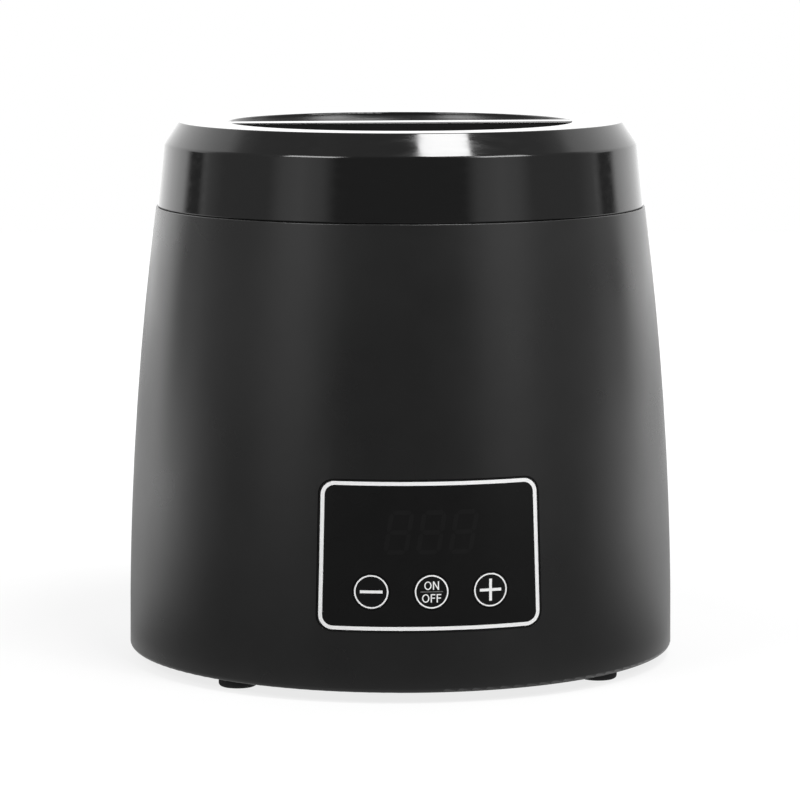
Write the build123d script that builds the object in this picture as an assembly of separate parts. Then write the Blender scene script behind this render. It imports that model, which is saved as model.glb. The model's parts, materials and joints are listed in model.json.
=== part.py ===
"""Dental lab wax heater: a flared casing, a heated well with a lift-out pot, and a lift-off lid.

Millimetres. +Z is up, the origin is the middle of the footprint on the table, and the control
panel faces -Y. Every node is written to parts/NODE.step.
"""

from build123d import *
from math import asin, cos, degrees, radians, sin, sqrt
import os

# ---------------------------------------------------------------- driving sizes
# Wax pot and its bail
POT_RADIUS = 51.0  # inside
POT_WALL = 1.2
POT_CORNER = 5.0  # outside, where the wall meets the bottom
POT_FLANGE_WIDTH = 6.3
POT_FLANGE_THICKNESS = 1.4
BAIL_WIRE_RADIUS = 1.5
BAIL_BEND_RADIUS = 2.0  # centreline, where the bail turns into its hooks
BAIL_INSET = 0.3  # bail's centreline inside the pot flange's edge
BAIL_REST_GAP = 0.3
EAR_THICKNESS = 1.2
EAR_WIDTH = 7.0
EAR_FOOT_LENGTH = 2.8
EAR_AXIS_HEIGHT = 3.2  # hinge axis above the pot flange
EAR_GAP = 0.2  # between an ear's outer face and the start of the bail's bend
HOOK_END_LENGTH = 0.9  # bail wire past the inner face of an ear

# Heating well and heater stack
WELL_WALL = 1.2
WELL_FLANGE_EDGE = 1.2  # well flange past the pot flange
HEATER_PLATE_RADIUS = 42.0
HEATER_PLATE_THICKNESS = 6.0
ELEMENT_RADIUS = 30.0
ELEMENT_TUBE_RADIUS = 3.4
ELEMENT_GAP_ANGLE = 26.0  # degrees left open between the element's two ends
TERMINAL_RADIUS = 1.5
STUD_RADIUS = 3.0
SPACER_RADIUS = 6.0
NUT_ACROSS_FLATS = 10.0
NUT_THICKNESS = 5.0
WASHER_RADIUS = 9.0
WASHER_THICKNESS = 1.0
SENSOR_RADIUS = 2.4
SENSOR_LENGTH = 10.0
SENSOR_OFFSET = 16.0  # sensor and thermal fuse from the stud
SENSOR_LEAD_Y = 14.0  # where their leads turn down through the shield
STRAP_THICKNESS = 0.8
STRAP_WIDTH = 5.0
STRAP_FOOT = 5.5
SHIELD_THICKNESS = 0.8
SHIELD_FLANGE_WIDTH = 4.8
SHIELD_DEPTH = 19.2  # inside the pan
BUSH_RADIUS = 3.2
BUSH_NECK_RADIUS = 2.3
BUSH_LENGTH = 3.0
INSULATION_THICKNESS = 5.4

# Collar between the casing's deck and the well
COLLAR_FLANGE_THICKNESS = 2.0
COLLAR_SCREW_ZONE = 7.5  # collar flange past the well flange
COLLAR_NECK_DEPTH = 6.0

# Casing
FOOT_HEIGHT = 3.0
BODY_HEIGHT = 129.4  # casing's lower edge to the lid seam
BODY_FLARE = 8.6  # how much wider the casing is at its foot than at the seam
CASE_WALL = 2.5
CASE_FOOT_ROUND = 1.2
CASE_LIP_ROUND = 0.25
LEDGE = 0.4  # casing's top edge outside the lid
BOSS_RADIUS = 4.5
DECK_BOSS_RADIUS = 2.9
DECK_BOSS_LENGTH = 8.0

# Lid
LID_WALL = 2.4
LID_FLOOR = 2.2
LID_SKIRT_HEIGHT = 18.2
LID_SKIRT_DRAFT = 1.9
LID_CHAMFER_HEIGHT = 6.5
LID_CHAMFER_WIDTH = 4.3
LID_SHOULDER_ROUND = 1.8
LID_RIM_ROUND = 0.45
LID_FOOT_ROUND = 0.5
LID_FLOOR_GAP = 3.3  # under the lid's floor, above the pot flange
RIM_DISH = 0.2  # rim's inner edge below its outer edge
RECESS_DRAFT = 6.0  # how much narrower the recess is at its floor than at the rim
RECESS_BROW_DEPTH = 1.2  # steep part of the recess wall, below the rim
RECESS_BROW_DRAFT = 0.2
RECESS_BROW_ROUND = 5.0
GRIP_WIDTH = 10.0
GRIP_DRAFT = 0.9  # how much each side of the grip leans out at its foot
GRIP_SINK = 0.28  # grip's top below the lid's rim
GRIP_WALL = 2.2
GRIP_ROUND = 0.5

# Base plate, feet and screws
BASE_THICKNESS = 2.5
BASE_SETBACK = 1.0  # base plate above the casing's lower edge
BASE_PAD_HEIGHT = 2.0
BASE_PAD_RADIUS = 7.0
BASE_SCREW_CIRCLE_INSET = 7.0  # foot and boss centres inside the casing's inner wall
FOOT_RADIUS = 5.5
FOOT_ANGLE = 47.0  # feet from the front and back
FOOT_ROUND = 1.0
FOOT_POCKET_DEPTH = 1.2
VENT_COUNT = 24
VENT_WIDTH = 2.6
VENT_LENGTH = 12.0
VENT_CIRCLE = 48.0
SCREW_RADIUS = 1.5
SCREW_HEAD_RADIUS = 2.7
SCREW_HEAD_HEIGHT = 1.8
SCREW_LENGTH = 12.0
SMALL_SCREW_RADIUS = 1.0
SMALL_SCREW_HEAD_RADIUS = 2.0
SMALL_SCREW_HEAD_HEIGHT = 1.3
SMALL_SCREW_LENGTH = 4.5

# Control panel and keys
PANEL_LOW = 17.3  # above the casing's lower edge
PANEL_HEIGHT = 42.1
PANEL_TOP_WIDTH = 61.0
PANEL_BOTTOM_WIDTH = 63.1
PANEL_CORNER = 4.2
PANEL_THICKNESS = 1.6
PANEL_PROUD = 0.2
PANEL_RIM = 3.0  # casing left behind the panel's edge, to carry it
KEY_RADIUS = 5.05
KEY_FLANGE = 0.95
KEY_PITCH = 16.6
KEY_HEIGHT = 11.2  # key centres above the panel's lower edge
KEY_STEM_RADIUS = 2.2
KEY_FLANGE_DEPTH = 1.2
KEY_TRAVEL = 0.5
DISPLAY_HEIGHT = 27.1  # display's centre above the panel's lower edge
DISPLAY_WIDTH = 30.0
DISPLAY_TALL = 14.0
DISPLAY_DEPTH = 8.0
DISPLAY_BOARD_MARGIN = 10.3  # display board past the panel, for its two pairs of bosses
DISPLAY_BOARD_LOW = 3.7  # board's lower edge above the panel's
DISPLAY_BOARD_HEIGHT = 34.0
DISPLAY_BOSS_RADIUS = 2.6
SWITCH_SIZE = 6.0
SWITCH_DEPTH = 3.5
PLUNGER_RADIUS = 1.7
PLUNGER_REACH = 1.5
PLUNGER_LENGTH = 2.6
CHIP_SIZE = (10.0, 2.2, 7.5)

# Mains inlet
INLET_HEIGHT = 19.0  # socket centre above the casing's lower edge
INLET_FLANGE = (26.0, 17.0)
INLET_FLANGE_THICKNESS = 1.8
INLET_BODY = (19.6, 12.4)
INLET_DEPTH = 19.0
SOCKET_LOBE_RADIUS = 4.2
SOCKET_DEPTH = 12.0
SOCKET_PITCH = 8.6
PIN_RADIUS = 1.18
PIN_LENGTH = 9.6
PIN_TAB_LENGTH = 7.0
INLET_PAD = (32.0, 22.0)
INLET_PAD_DEPTH = 2.2
INLET_BARB = 1.0

# Control board in the bay under the heat shield
BAY_HEIGHT = 39.5
BOARD_THICKNESS = 1.6
BOARD_STANDOFF = 6.0
BOARD_SIZE = (68.0, 52.0)
BOARD_SCREW_INSET = 4.0
STANDOFF_RADIUS = 3.2
TERMINAL_BLOCK = (21.0, 9.0, 10.0)
TERMINAL_PITCH = 5.08
TERMINAL_Y = 20.0
ENTRY_HEIGHT = 4.0  # wire entries above the board
ENTRY_DEPTH = 4.0
SCREW_WELL_DEPTH = 2.0
TRANSFORMER_AT = (-18.0, -4.0)
CORE_SIZE = (24.0, 10.0, 20.0)
CORE_LIMB = 4.0
COIL_DEPTH = 19.0
COIL_FOOT = 1.5
RELAY_AT = (14.0, -4.0)
RELAY_SIZE = (15.5, 19.0, 15.3)
FILM_CAPACITOR_AT = (27.0, 2.0)
FILM_CAPACITOR_SIZE = (7.0, 18.0, 13.0)
SMOOTHING_CAPACITOR_AT = (0.0, -5.5)
SMOOTHING_CAPACITOR = (4.5, 14.0)  # radius and height
FUSE_AT = (0.0, 10.0)
FUSE_RADIUS = 2.6
FUSE_LENGTH = 20.0
FUSE_CAP_LENGTH = 5.0
FUSE_CAP_STEP = 0.2
FUSE_HEIGHT = 5.0  # fuse's centreline above the board

# Wiring
LEAD_RADIUS = 1.2
HEADER_SIZE = (13.0, 5.0, 6.0)
RIBBON_WIDTH = 10.0
RIBBON_THICKNESS = 1.0
RIBBON_X = 20.0
RIBBON_LOW_Y = -20.0
RIBBON_HEIGHT = 7.0  # upper socket above the display board's lower edge

# Clearances
LID_CLEARANCE = 1.4  # lid's skirt round the collar
POT_CLEARANCE = 0.8  # pot in the well
POT_FLOOR_CLEARANCE = 0.3
FITTING_GAP = 0.4  # collar in the deck, insulation round the well
ASSEMBLY_GAP = 0.15  # panel in its pocket, keys in the panel
SEAT_GAP = 0.2
HINGE_CLEARANCE = 0.06
THREAD_CLEARANCE = 0.05
HOLE_CLEARANCE = 0.2
HOOK_CLEARANCE = 1.5  # bail hooks to the lid's recess wall
BASE_GAP = 0.3
BOARD_CORNER_CLEARANCE = 1.2

# ---------------------------------------------------------------- sizes that follow
POT_OUTER_RADIUS = POT_RADIUS + POT_WALL
POT_FLANGE_RADIUS = POT_OUTER_RADIUS + POT_FLANGE_WIDTH
WELL_RADIUS = POT_OUTER_RADIUS + POT_CLEARANCE
WELL_OUTER_RADIUS = WELL_RADIUS + WELL_WALL
WELL_FLANGE_RADIUS = POT_FLANGE_RADIUS + WELL_FLANGE_EDGE
COLLAR_RADIUS = WELL_FLANGE_RADIUS + COLLAR_SCREW_ZONE
COLLAR_BORE = WELL_OUTER_RADIUS + FITTING_GAP
INSULATION_RADIUS = WELL_OUTER_RADIUS + FITTING_GAP + INSULATION_THICKNESS
COLLAR_NECK_RADIUS = INSULATION_RADIUS + FITTING_GAP
DECK_OPENING = COLLAR_NECK_RADIUS + FITTING_GAP
DECK_SCREW_CIRCLE = (DECK_OPENING + COLLAR_RADIUS) / 2

LID_INNER_RADIUS = COLLAR_RADIUS + LID_CLEARANCE
LID_RADIUS = LID_INNER_RADIUS + LID_WALL
TOP_RADIUS = LID_RADIUS + LEDGE
BASE_RADIUS = TOP_RADIUS + BODY_FLARE

BOTTOM_Z = FOOT_HEIGHT
SEAM_Z = BOTTOM_Z + BODY_HEIGHT
SIDE_ARC_RADIUS = (BODY_HEIGHT**2 + BODY_FLARE**2) / (2 * BODY_FLARE)

BASE_Z = BOTTOM_Z + BASE_SETBACK
BASE_TOP_Z = BASE_Z + BASE_THICKNESS
BASE_PAD_Z = BASE_TOP_Z + BASE_PAD_HEIGHT

COLLAR_TOP_Z = SEAM_Z + COLLAR_FLANGE_THICKNESS
WELL_FLANGE_Z = COLLAR_TOP_Z + WELL_WALL
POT_RIM_Z = WELL_FLANGE_Z + POT_FLANGE_THICKNESS
COLLAR_LOW_Z = SEAM_Z - COLLAR_NECK_DEPTH

SHIELD_Z = BASE_TOP_Z + BAY_HEIGHT
SHIELD_FLOOR_Z = SHIELD_Z + SHIELD_THICKNESS
SHIELD_RIM_Z = SHIELD_Z + SHIELD_DEPTH + SHIELD_THICKNESS
WELL_FLOOR_Z = SHIELD_RIM_Z - FITTING_GAP
WELL_LOW_Z = WELL_FLOOR_Z - WELL_WALL
POT_LOW_Z = WELL_FLOOR_Z + POT_FLOOR_CLEARANCE
HEATER_LOW_Z = WELL_LOW_Z - HEATER_PLATE_THICKNESS

BAIL_RADIUS = POT_FLANGE_RADIUS - BAIL_INSET
BAIL_AXIS_Z = POT_RIM_Z + EAR_AXIS_HEIGHT
EAR_OUTER_X = BAIL_RADIUS - BAIL_BEND_RADIUS - EAR_GAP
EAR_INNER_X = EAR_OUTER_X - EAR_THICKNESS
HOOK_END_X = EAR_INNER_X - HOOK_END_LENGTH
BAIL_DROOP = degrees(asin((EAR_AXIS_HEIGHT - BAIL_WIRE_RADIUS - BAIL_REST_GAP) / BAIL_RADIUS))

RECESS_RADIUS = HOOK_END_X - HOOK_CLEARANCE - LID_WALL
LID_SHOULDER_Z = SEAM_Z + LID_SKIRT_HEIGHT
LID_TOP_Z = LID_SHOULDER_Z + LID_CHAMFER_HEIGHT
LID_FLOOR_LOW_Z = POT_RIM_Z + LID_FLOOR_GAP
LID_FLOOR_Z = LID_FLOOR_LOW_Z + LID_FLOOR
GRIP_TOP_Z = LID_TOP_Z - GRIP_SINK

PANEL_LOW_Z = BOTTOM_Z + PANEL_LOW
PANEL_HIGH_Z = PANEL_LOW_Z + PANEL_HEIGHT
PANEL_SINK = PANEL_THICKNESS - PANEL_PROUD
KEY_Z = PANEL_LOW_Z + KEY_HEIGHT
KEY_XS = {"minus": -KEY_PITCH, "on_off": 0.0, "plus": KEY_PITCH}

FAR = 2 * (BASE_RADIUS + BODY_HEIGHT)  # past everything
ON_BASE = (Align.CENTER, Align.CENTER, Align.MIN)
DIAGONALS = [45 + 90 * quarter for quarter in range(4)]
BASE_ANGLES = [90 + side * FOOT_ANGLE + turn for turn in (0, 180) for side in (-1, 1)]


# ---------------------------------------------------------------- shape helpers
def side_radius(z, offset=0.0):
    """Radius at height z of the casing's outer surface, moved out by offset along its normal."""
    return BASE_RADIUS - SIDE_ARC_RADIUS + sqrt((SIDE_ARC_RADIUS + offset) ** 2 - (z - BOTTOM_Z) ** 2)


def side_arc(low, high, offset=0.0):
    """The casing's side curve between two heights, as (radius, height) on the section plane."""
    heights = (low, (low + high) / 2, high)
    return ThreePointArc(*[(side_radius(z, offset), z) for z in heights])


def round_corner(face, corner, radius):
    """The face with one of its corners rounded."""
    nearest = face.vertices().sort_by_distance(Vector(*corner, 0))[0]
    return fillet(nearest, radius)


def turned(face):
    """The (radius, height) face turned about Z."""
    return revolve(Plane.XZ * face, Axis.Z)


def turned_outline(points, rounds=()):
    """A closed (radius, height) outline turned about Z, with rounds of (corner, radius)."""
    face = make_face(Polyline(*points, close=True))
    for corner, radius in rounds:
        face = round_corner(face, corner, radius)
    return turned(face)


def skin(inner, outer, low, high):
    """A layer that follows the casing's side between two offsets."""
    inside = side_arc(low, high, inner)
    outside = side_arc(low, high, outer)
    ends = [Line(inside @ 0, outside @ 0), Line(inside @ 1, outside @ 1)]
    return turned(make_face([inside, outside, *ends]))


def post(radius, low, high, x=0.0, y=0.0):
    """An upright round post."""
    return Pos(x, y, low) * Cylinder(radius, high - low, align=ON_BASE)


def post_y(radius, start, end, x=0.0, z=0.0):
    """A round post along Y."""
    return Pos(x, (start + end) / 2, z) * Rot(90, 0, 0) * Cylinder(radius, abs(end - start))


def block(xs, ys, zs):
    """A box between two values on each axis."""
    middle = [sum(pair) / 2 for pair in (xs, ys, zs)]
    size = [abs(pair[1] - pair[0]) for pair in (xs, ys, zs)]
    return Pos(*middle) * Box(*size)


def around(value, spread):
    """The two ends of a span about its middle."""
    return value - spread / 2, value + spread / 2


def polar(radius, angle):
    """X and Y at an angle in degrees."""
    return radius * cos(radians(angle)), radius * sin(radians(angle))


def pan_screw(radius, length, head_radius, head_height):
    """A cross-head screw with its seat at z 0, head above and shank below."""
    slot = radius * 0.5
    reach = head_radius * 1.2
    cross = Box(reach, slot, head_height) + Box(slot, reach, head_height)
    head = Cylinder(head_radius, head_height, align=ON_BASE)
    head = fillet(head.edges().group_by(Axis.Z)[-1], head_height * 0.4)
    shank = Pos(0, 0, -length) * Cylinder(radius, length, align=ON_BASE)
    shank = chamfer(shank.edges().group_by(Axis.Z)[0], radius * 0.4)
    return head + shank - Pos(0, 0, head_height) * cross


def case_screw():
    return pan_screw(SCREW_RADIUS, SCREW_LENGTH, SCREW_HEAD_RADIUS, SCREW_HEAD_HEIGHT)


def small_screw():
    return pan_screw(
        SMALL_SCREW_RADIUS, SMALL_SCREW_LENGTH, SMALL_SCREW_HEAD_RADIUS, SMALL_SCREW_HEAD_HEIGHT
    )


def lead(points, radius=LEAD_RADIUS):
    """A round lead along straight runs joined by arcs as large as the runs allow."""
    corners = [Vector(*p) for p in points]
    bends = []
    for before, at, after in zip(corners, corners[1:], corners[2:]):
        turn = radians((at - before).get_angle(after - at))
        run = min((at - before).length, (after - at).length)
        bends.append(0.45 * run / (sin(turn / 2) / cos(turn / 2)))
    path = FilletPolyline(*corners, radius=bends)
    return sweep(Plane(origin=path @ 0, z_dir=path % 0) * Circle(radius), path)


# ---------------------------------------------------------------- panel geometry
def panel_outline(inset=0.0):
    """The panel's front outline, drawn on the XZ plane, moved in by inset."""
    low, high = PANEL_LOW_Z + inset, PANEL_HIGH_Z - inset
    bottom, top = PANEL_BOTTOM_WIDTH / 2 - inset, PANEL_TOP_WIDTH / 2 - inset
    points = [(-bottom, low), (bottom, low), (top, high), (-top, high)]
    face = make_face(Polyline(*points, close=True))
    return fillet(face.vertices(), max(PANEL_CORNER - inset, PANEL_CORNER / 4))


def panel_prism(inset=0.0):
    """The outline carried forwards from the heater's axis."""
    return extrude(Plane.XZ * panel_outline(inset), FAR)


DISPLAY_BOARD_WIDTH = max(PANEL_TOP_WIDTH, PANEL_BOTTOM_WIDTH) + DISPLAY_BOARD_MARGIN
BOARD_LOW_Z = PANEL_LOW_Z + DISPLAY_BOARD_LOW
BOARD_HIGH_Z = BOARD_LOW_Z + DISPLAY_BOARD_HEIGHT
BOARD_EDGE_RADIUS = side_radius(BOARD_HIGH_Z, -CASE_WALL) - BOARD_CORNER_CLEARANCE
BOARD_FRONT_Y = -sqrt(BOARD_EDGE_RADIUS**2 - (DISPLAY_BOARD_WIDTH / 2) ** 2)
BOARD_BACK_Y = BOARD_FRONT_Y + BOARD_THICKNESS
DISPLAY_SCREWS = [
    (x * (DISPLAY_BOARD_WIDTH / 2 - BOARD_SCREW_INSET), z)
    for x in (-1, 1)
    for z in (BOARD_LOW_Z + BOARD_SCREW_INSET, BOARD_HIGH_Z - BOARD_SCREW_INSET)
]

BASE_SCREW_CIRCLE = side_radius(BASE_PAD_Z, -CASE_WALL) - BASE_SCREW_CIRCLE_INSET

INLET_Z = BOTTOM_Z + INLET_HEIGHT
INLET_FACE_Y = side_radius(INLET_Z) - SEAT_GAP  # front of the inlet's flange
INLET_SEAT_Y = INLET_FACE_Y - INLET_FLANGE_THICKNESS
INLET_PAD_Y = INLET_SEAT_Y - INLET_PAD_DEPTH
INLET_TAB_Y = INLET_FACE_Y - INLET_DEPTH - PIN_TAB_LENGTH

MAIN_BOARD_LOW_Z = BASE_TOP_Z + BOARD_STANDOFF
MAIN_BOARD_Z = MAIN_BOARD_LOW_Z + BOARD_THICKNESS
ENTRY_Z = MAIN_BOARD_Z + ENTRY_HEIGHT
FUSE_Z = MAIN_BOARD_Z + FUSE_HEIGHT
SENSOR_Z = HEATER_LOW_Z - SENSOR_RADIUS - SEAT_GAP / 2
SWITCH_FRONT_Y = BOARD_FRONT_Y - SWITCH_DEPTH
PLUNGER_FRONT_Y = SWITCH_FRONT_Y - PLUNGER_REACH
RIBBON_HIGH_Z = BOARD_LOW_Z + RIBBON_HEIGHT
RIBBON_ROUTE = [
    (BOARD_BACK_Y + 12, RIBBON_HIGH_Z),
    (BOARD_BACK_Y + 24, RIBBON_HIGH_Z + 3),
    (RIBBON_LOW_Y, RIBBON_HIGH_Z + 3),
]
RIBBON_BENDS = [10.0, 10.0, 5.0]
MAIN_BOARD_SCREWS = [
    (x * (BOARD_SIZE[0] / 2 - BOARD_SCREW_INSET), y * (BOARD_SIZE[1] / 2 - BOARD_SCREW_INSET))
    for x in (-1, 1)
    for y in (-1, 1)
]


# ---------------------------------------------------------------- casing and base
def body_shell():
    """Casing with its deck, screw bosses, panel pocket and inlet pad, all in one moulding."""
    deck_low = SEAM_Z - CASE_WALL
    inner_top = side_radius(deck_low, -CASE_WALL)
    outside = side_arc(BOTTOM_Z, SEAM_Z)
    inside = side_arc(BOTTOM_Z, deck_low, -CASE_WALL)
    deck = Polyline(
        outside @ 1, (DECK_OPENING, SEAM_Z), (DECK_OPENING, deck_low), (inner_top, deck_low)
    )
    face = make_face([outside, deck, inside, Line(inside @ 0, outside @ 0)])
    face = round_corner(face, (BASE_RADIUS, BOTTOM_Z), CASE_FOOT_ROUND)
    face = round_corner(face, (TOP_RADIUS, SEAM_Z), CASE_LIP_ROUND)
    shell = turned(face)

    shell += base_bosses() + deck_bosses() + display_bosses() + inlet_pad()
    shell -= skin(-PANEL_SINK - ASSEMBLY_GAP, CASE_WALL, BOTTOM_Z, SEAM_Z) & panel_prism(
        -ASSEMBLY_GAP
    )
    shell -= panel_prism(PANEL_RIM) & block((-FAR, FAR), (-FAR, BOARD_FRONT_Y), (0, FAR))
    for x, z in DISPLAY_SCREWS:
        end = BOARD_FRONT_Y - SMALL_SCREW_LENGTH
        shell -= post_y(SMALL_SCREW_RADIUS + THREAD_CLEARANCE, BOARD_FRONT_Y, end, x, z)
    flange = block(
        around(0, INLET_FLANGE[0] + 2 * ASSEMBLY_GAP),
        (INLET_SEAT_Y, FAR),
        around(INLET_Z, INLET_FLANGE[1] + 2 * ASSEMBLY_GAP),
    )
    throat = block(
        around(0, INLET_BODY[0] + 2 * ASSEMBLY_GAP),
        (INLET_PAD_Y - CASE_WALL, FAR),
        around(INLET_Z, INLET_BODY[1] + 2 * ASSEMBLY_GAP),
    )
    shell -= flange + throat
    depth = SCREW_LENGTH - COLLAR_FLANGE_THICKNESS + SEAT_GAP
    for angle in DIAGONALS:
        x, y = polar(DECK_SCREW_CIRCLE, angle)
        shell -= post(SCREW_RADIUS + THREAD_CLEARANCE, SEAM_Z - depth, SEAM_Z, x, y)
    return shell


def space_within(offset):
    """The solid space inside the casing's side curve moved out by offset."""
    edge = side_arc(BOTTOM_Z, SEAM_Z, offset)
    rest = Polyline(edge @ 1, (0, SEAM_Z), (0, BOTTOM_Z), edge @ 0)
    return turned(make_face([edge, rest]))


def inside_casing():
    """The space within the middle of the casing's wall, to trim what is joined to it."""
    return space_within(-CASE_WALL / 2)


def base_bosses():
    """Four screw bosses that stand on the base plate's pads, each tied to the wall by a rib."""
    high = BASE_PAD_Z + SCREW_LENGTH + CASE_WALL
    bosses = []
    for angle in BASE_ANGLES:
        x, y = polar(BASE_SCREW_CIRCLE, angle)
        rib = Rot(0, 0, angle) * block(
            (BASE_SCREW_CIRCLE, BASE_RADIUS), around(0, CASE_WALL), (BASE_PAD_Z, high)
        )
        hole = post(SCREW_RADIUS + THREAD_CLEARANCE, BASE_PAD_Z, high - CASE_WALL / 2, x, y)
        bosses.append(((post(BOSS_RADIUS, BASE_PAD_Z, high, x, y) + rib) & inside_casing()) - hole)
    return Part() + bosses


def deck_bosses():
    """Four bosses under the deck that take the collar's screws."""
    low = SEAM_Z - CASE_WALL - DECK_BOSS_LENGTH
    bosses = []
    for angle in DIAGONALS:
        x, y = polar(DECK_SCREW_CIRCLE, angle)
        bosses.append(post(DECK_BOSS_RADIUS, low, SEAM_Z - CASE_WALL, x, y))
    return Part() + bosses


def display_bosses():
    """Four bosses behind the panel that carry the display board."""
    bosses = [
        post_y(DISPLAY_BOSS_RADIUS, BOARD_FRONT_Y, -BASE_RADIUS, x, z) & inside_casing()
        for x, z in DISPLAY_SCREWS
    ]
    return Part() + bosses


def inlet_pad():
    """A flat pad inside the back wall that the inlet clips to."""
    pad = block(around(0, INLET_PAD[0]), (INLET_PAD_Y, BASE_RADIUS), around(INLET_Z, INLET_PAD[1]))
    return pad & inside_casing()


def base_plate():
    """Bottom cover with foot pockets, vents and the control board's standoffs."""
    radius = side_radius(BASE_TOP_Z, -CASE_WALL) - BASE_GAP
    plate = post(radius, BASE_Z, BASE_TOP_Z)
    for x, y in MAIN_BOARD_SCREWS:
        plate += post(STANDOFF_RADIUS, BASE_TOP_Z, MAIN_BOARD_LOW_Z, x, y)
        plate -= post(SMALL_SCREW_RADIUS + THREAD_CLEARANCE, BASE_TOP_Z, MAIN_BOARD_LOW_Z, x, y)
    pocket_top = BASE_Z + FOOT_POCKET_DEPTH
    for angle in BASE_ANGLES:
        x, y = polar(BASE_SCREW_CIRCLE, angle)
        plate += post(BASE_PAD_RADIUS, BASE_TOP_Z, BASE_PAD_Z, x, y) & post(radius, BASE_Z, FAR)
        plate -= post(FOOT_RADIUS + ASSEMBLY_GAP, BASE_Z, pocket_top, x, y)
        head_top = pocket_top + SCREW_HEAD_HEIGHT + SEAT_GAP
        plate -= post(SCREW_HEAD_RADIUS + HOLE_CLEARANCE, BASE_Z, head_top, x, y)
        plate -= post(SCREW_RADIUS + HOLE_CLEARANCE, BASE_Z, BASE_PAD_Z, x, y)
    slot = SlotOverall(VENT_LENGTH, VENT_WIDTH)
    for number in range(VENT_COUNT):
        turn = Rot(0, 0, (number + 0.5) * 360 / VENT_COUNT)
        plate -= turn * Pos(VENT_CIRCLE, 0, BASE_Z) * extrude(slot, BASE_THICKNESS)
    return plate


def rubber_feet():
    """Four feet pressed into the base plate's pockets, over the case screws."""
    top = BASE_Z + FOOT_POCKET_DEPTH
    feet = []
    for angle in BASE_ANGLES:
        x, y = polar(BASE_SCREW_CIRCLE, angle)
        foot = post(FOOT_RADIUS, 0, top, x, y)
        feet.append(fillet(foot.edges().group_by(Axis.Z)[0], FOOT_ROUND))
    return feet


def base_screws():
    """Case screws, driven up through the base plate into the casing's bosses."""
    seat = BASE_Z + FOOT_POCKET_DEPTH + SCREW_HEAD_HEIGHT + SEAT_GAP
    return [
        Pos(*polar(BASE_SCREW_CIRCLE, angle), seat) * Rot(180, 0, 0) * case_screw()
        for angle in BASE_ANGLES
    ]


# ---------------------------------------------------------------- collar, well and heater
def pot_collar():
    """Heat-resistant ring that carries the well in the deck and centres the lid."""
    collar = turned_outline(
        [
            (COLLAR_BORE, COLLAR_LOW_Z),
            (COLLAR_NECK_RADIUS, COLLAR_LOW_Z),
            (COLLAR_NECK_RADIUS, SEAM_Z),
            (COLLAR_RADIUS, SEAM_Z),
            (COLLAR_RADIUS, COLLAR_TOP_Z),
            (COLLAR_BORE, COLLAR_TOP_Z),
        ],
        rounds=[((COLLAR_RADIUS, COLLAR_TOP_Z), COLLAR_FLANGE_THICKNESS / 3)],
    )
    for angle in DIAGONALS:
        x, y = polar(DECK_SCREW_CIRCLE, angle)
        collar -= post(SCREW_RADIUS + HOLE_CLEARANCE, SEAM_Z, COLLAR_TOP_Z, x, y)
    return collar


def collar_screws():
    return [
        Pos(*polar(DECK_SCREW_CIRCLE, angle), COLLAR_TOP_Z) * case_screw() for angle in DIAGONALS
    ]


def flanged_cup(radius, wall, floor_z, flange_radius, flange_low, flange_high, corner):
    """A spun cup: inside radius, its floor's top, and a flange between two heights."""
    outer = radius + wall
    return turned_outline(
        [
            (0, floor_z - wall),
            (outer, floor_z - wall),
            (outer, flange_low),
            (flange_radius, flange_low),
            (flange_radius, flange_high),
            (radius, flange_high),
            (radius, floor_z),
            (0, floor_z),
        ],
        rounds=[
            ((outer, floor_z - wall), corner),
            ((radius, floor_z), corner - wall),
            ((radius, flange_high), (flange_high - flange_low) / 2),
            ((flange_radius, flange_high), (flange_high - flange_low) / 3),
        ],
    )


def heating_well():
    """Fixed cup that the pot drops into, with the clamp stud under it."""
    cup = flanged_cup(
        WELL_RADIUS, WELL_WALL, WELL_FLOOR_Z, WELL_FLANGE_RADIUS, COLLAR_TOP_Z, WELL_FLANGE_Z,
        POT_CORNER,
    )
    stud_low = SHIELD_Z - WASHER_THICKNESS - NUT_THICKNESS - STUD_RADIUS
    return cup + post(STUD_RADIUS, stud_low, WELL_LOW_Z + WELL_WALL / 2)


def wax_pot():
    return flanged_cup(
        POT_RADIUS, POT_WALL, POT_LOW_Z + POT_WALL, POT_FLANGE_RADIUS, WELL_FLANGE_Z, POT_RIM_Z,
        POT_CORNER,
    )


def element_angles():
    """Angles of the element's two ends, either side of the front."""
    return -90 + ELEMENT_GAP_ANGLE / 2, 270 - ELEMENT_GAP_ANGLE / 2


def heater_plate():
    """Cast plate under the well, grooved for the tubular element."""
    plate = post(HEATER_PLATE_RADIUS, HEATER_LOW_Z, WELL_LOW_Z)
    plate = chamfer(plate.edges().group_by(Axis.Z)[0], HEATER_PLATE_THICKNESS / 4)
    groove = Pos(0, 0, HEATER_LOW_Z) * Torus(ELEMENT_RADIUS, ELEMENT_TUBE_RADIUS + THREAD_CLEARANCE)
    plate -= groove
    plate -= post(STUD_RADIUS + HOLE_CLEARANCE, HEATER_LOW_Z, WELL_LOW_Z)
    depth = SMALL_SCREW_LENGTH - STRAP_THICKNESS + SEAT_GAP
    for side in (-1, 1):
        hole = SMALL_SCREW_RADIUS + THREAD_CLEARANCE
        plate -= post(hole, HEATER_LOW_Z, HEATER_LOW_Z + depth, strap_screw_x(side))
    return plate


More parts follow.
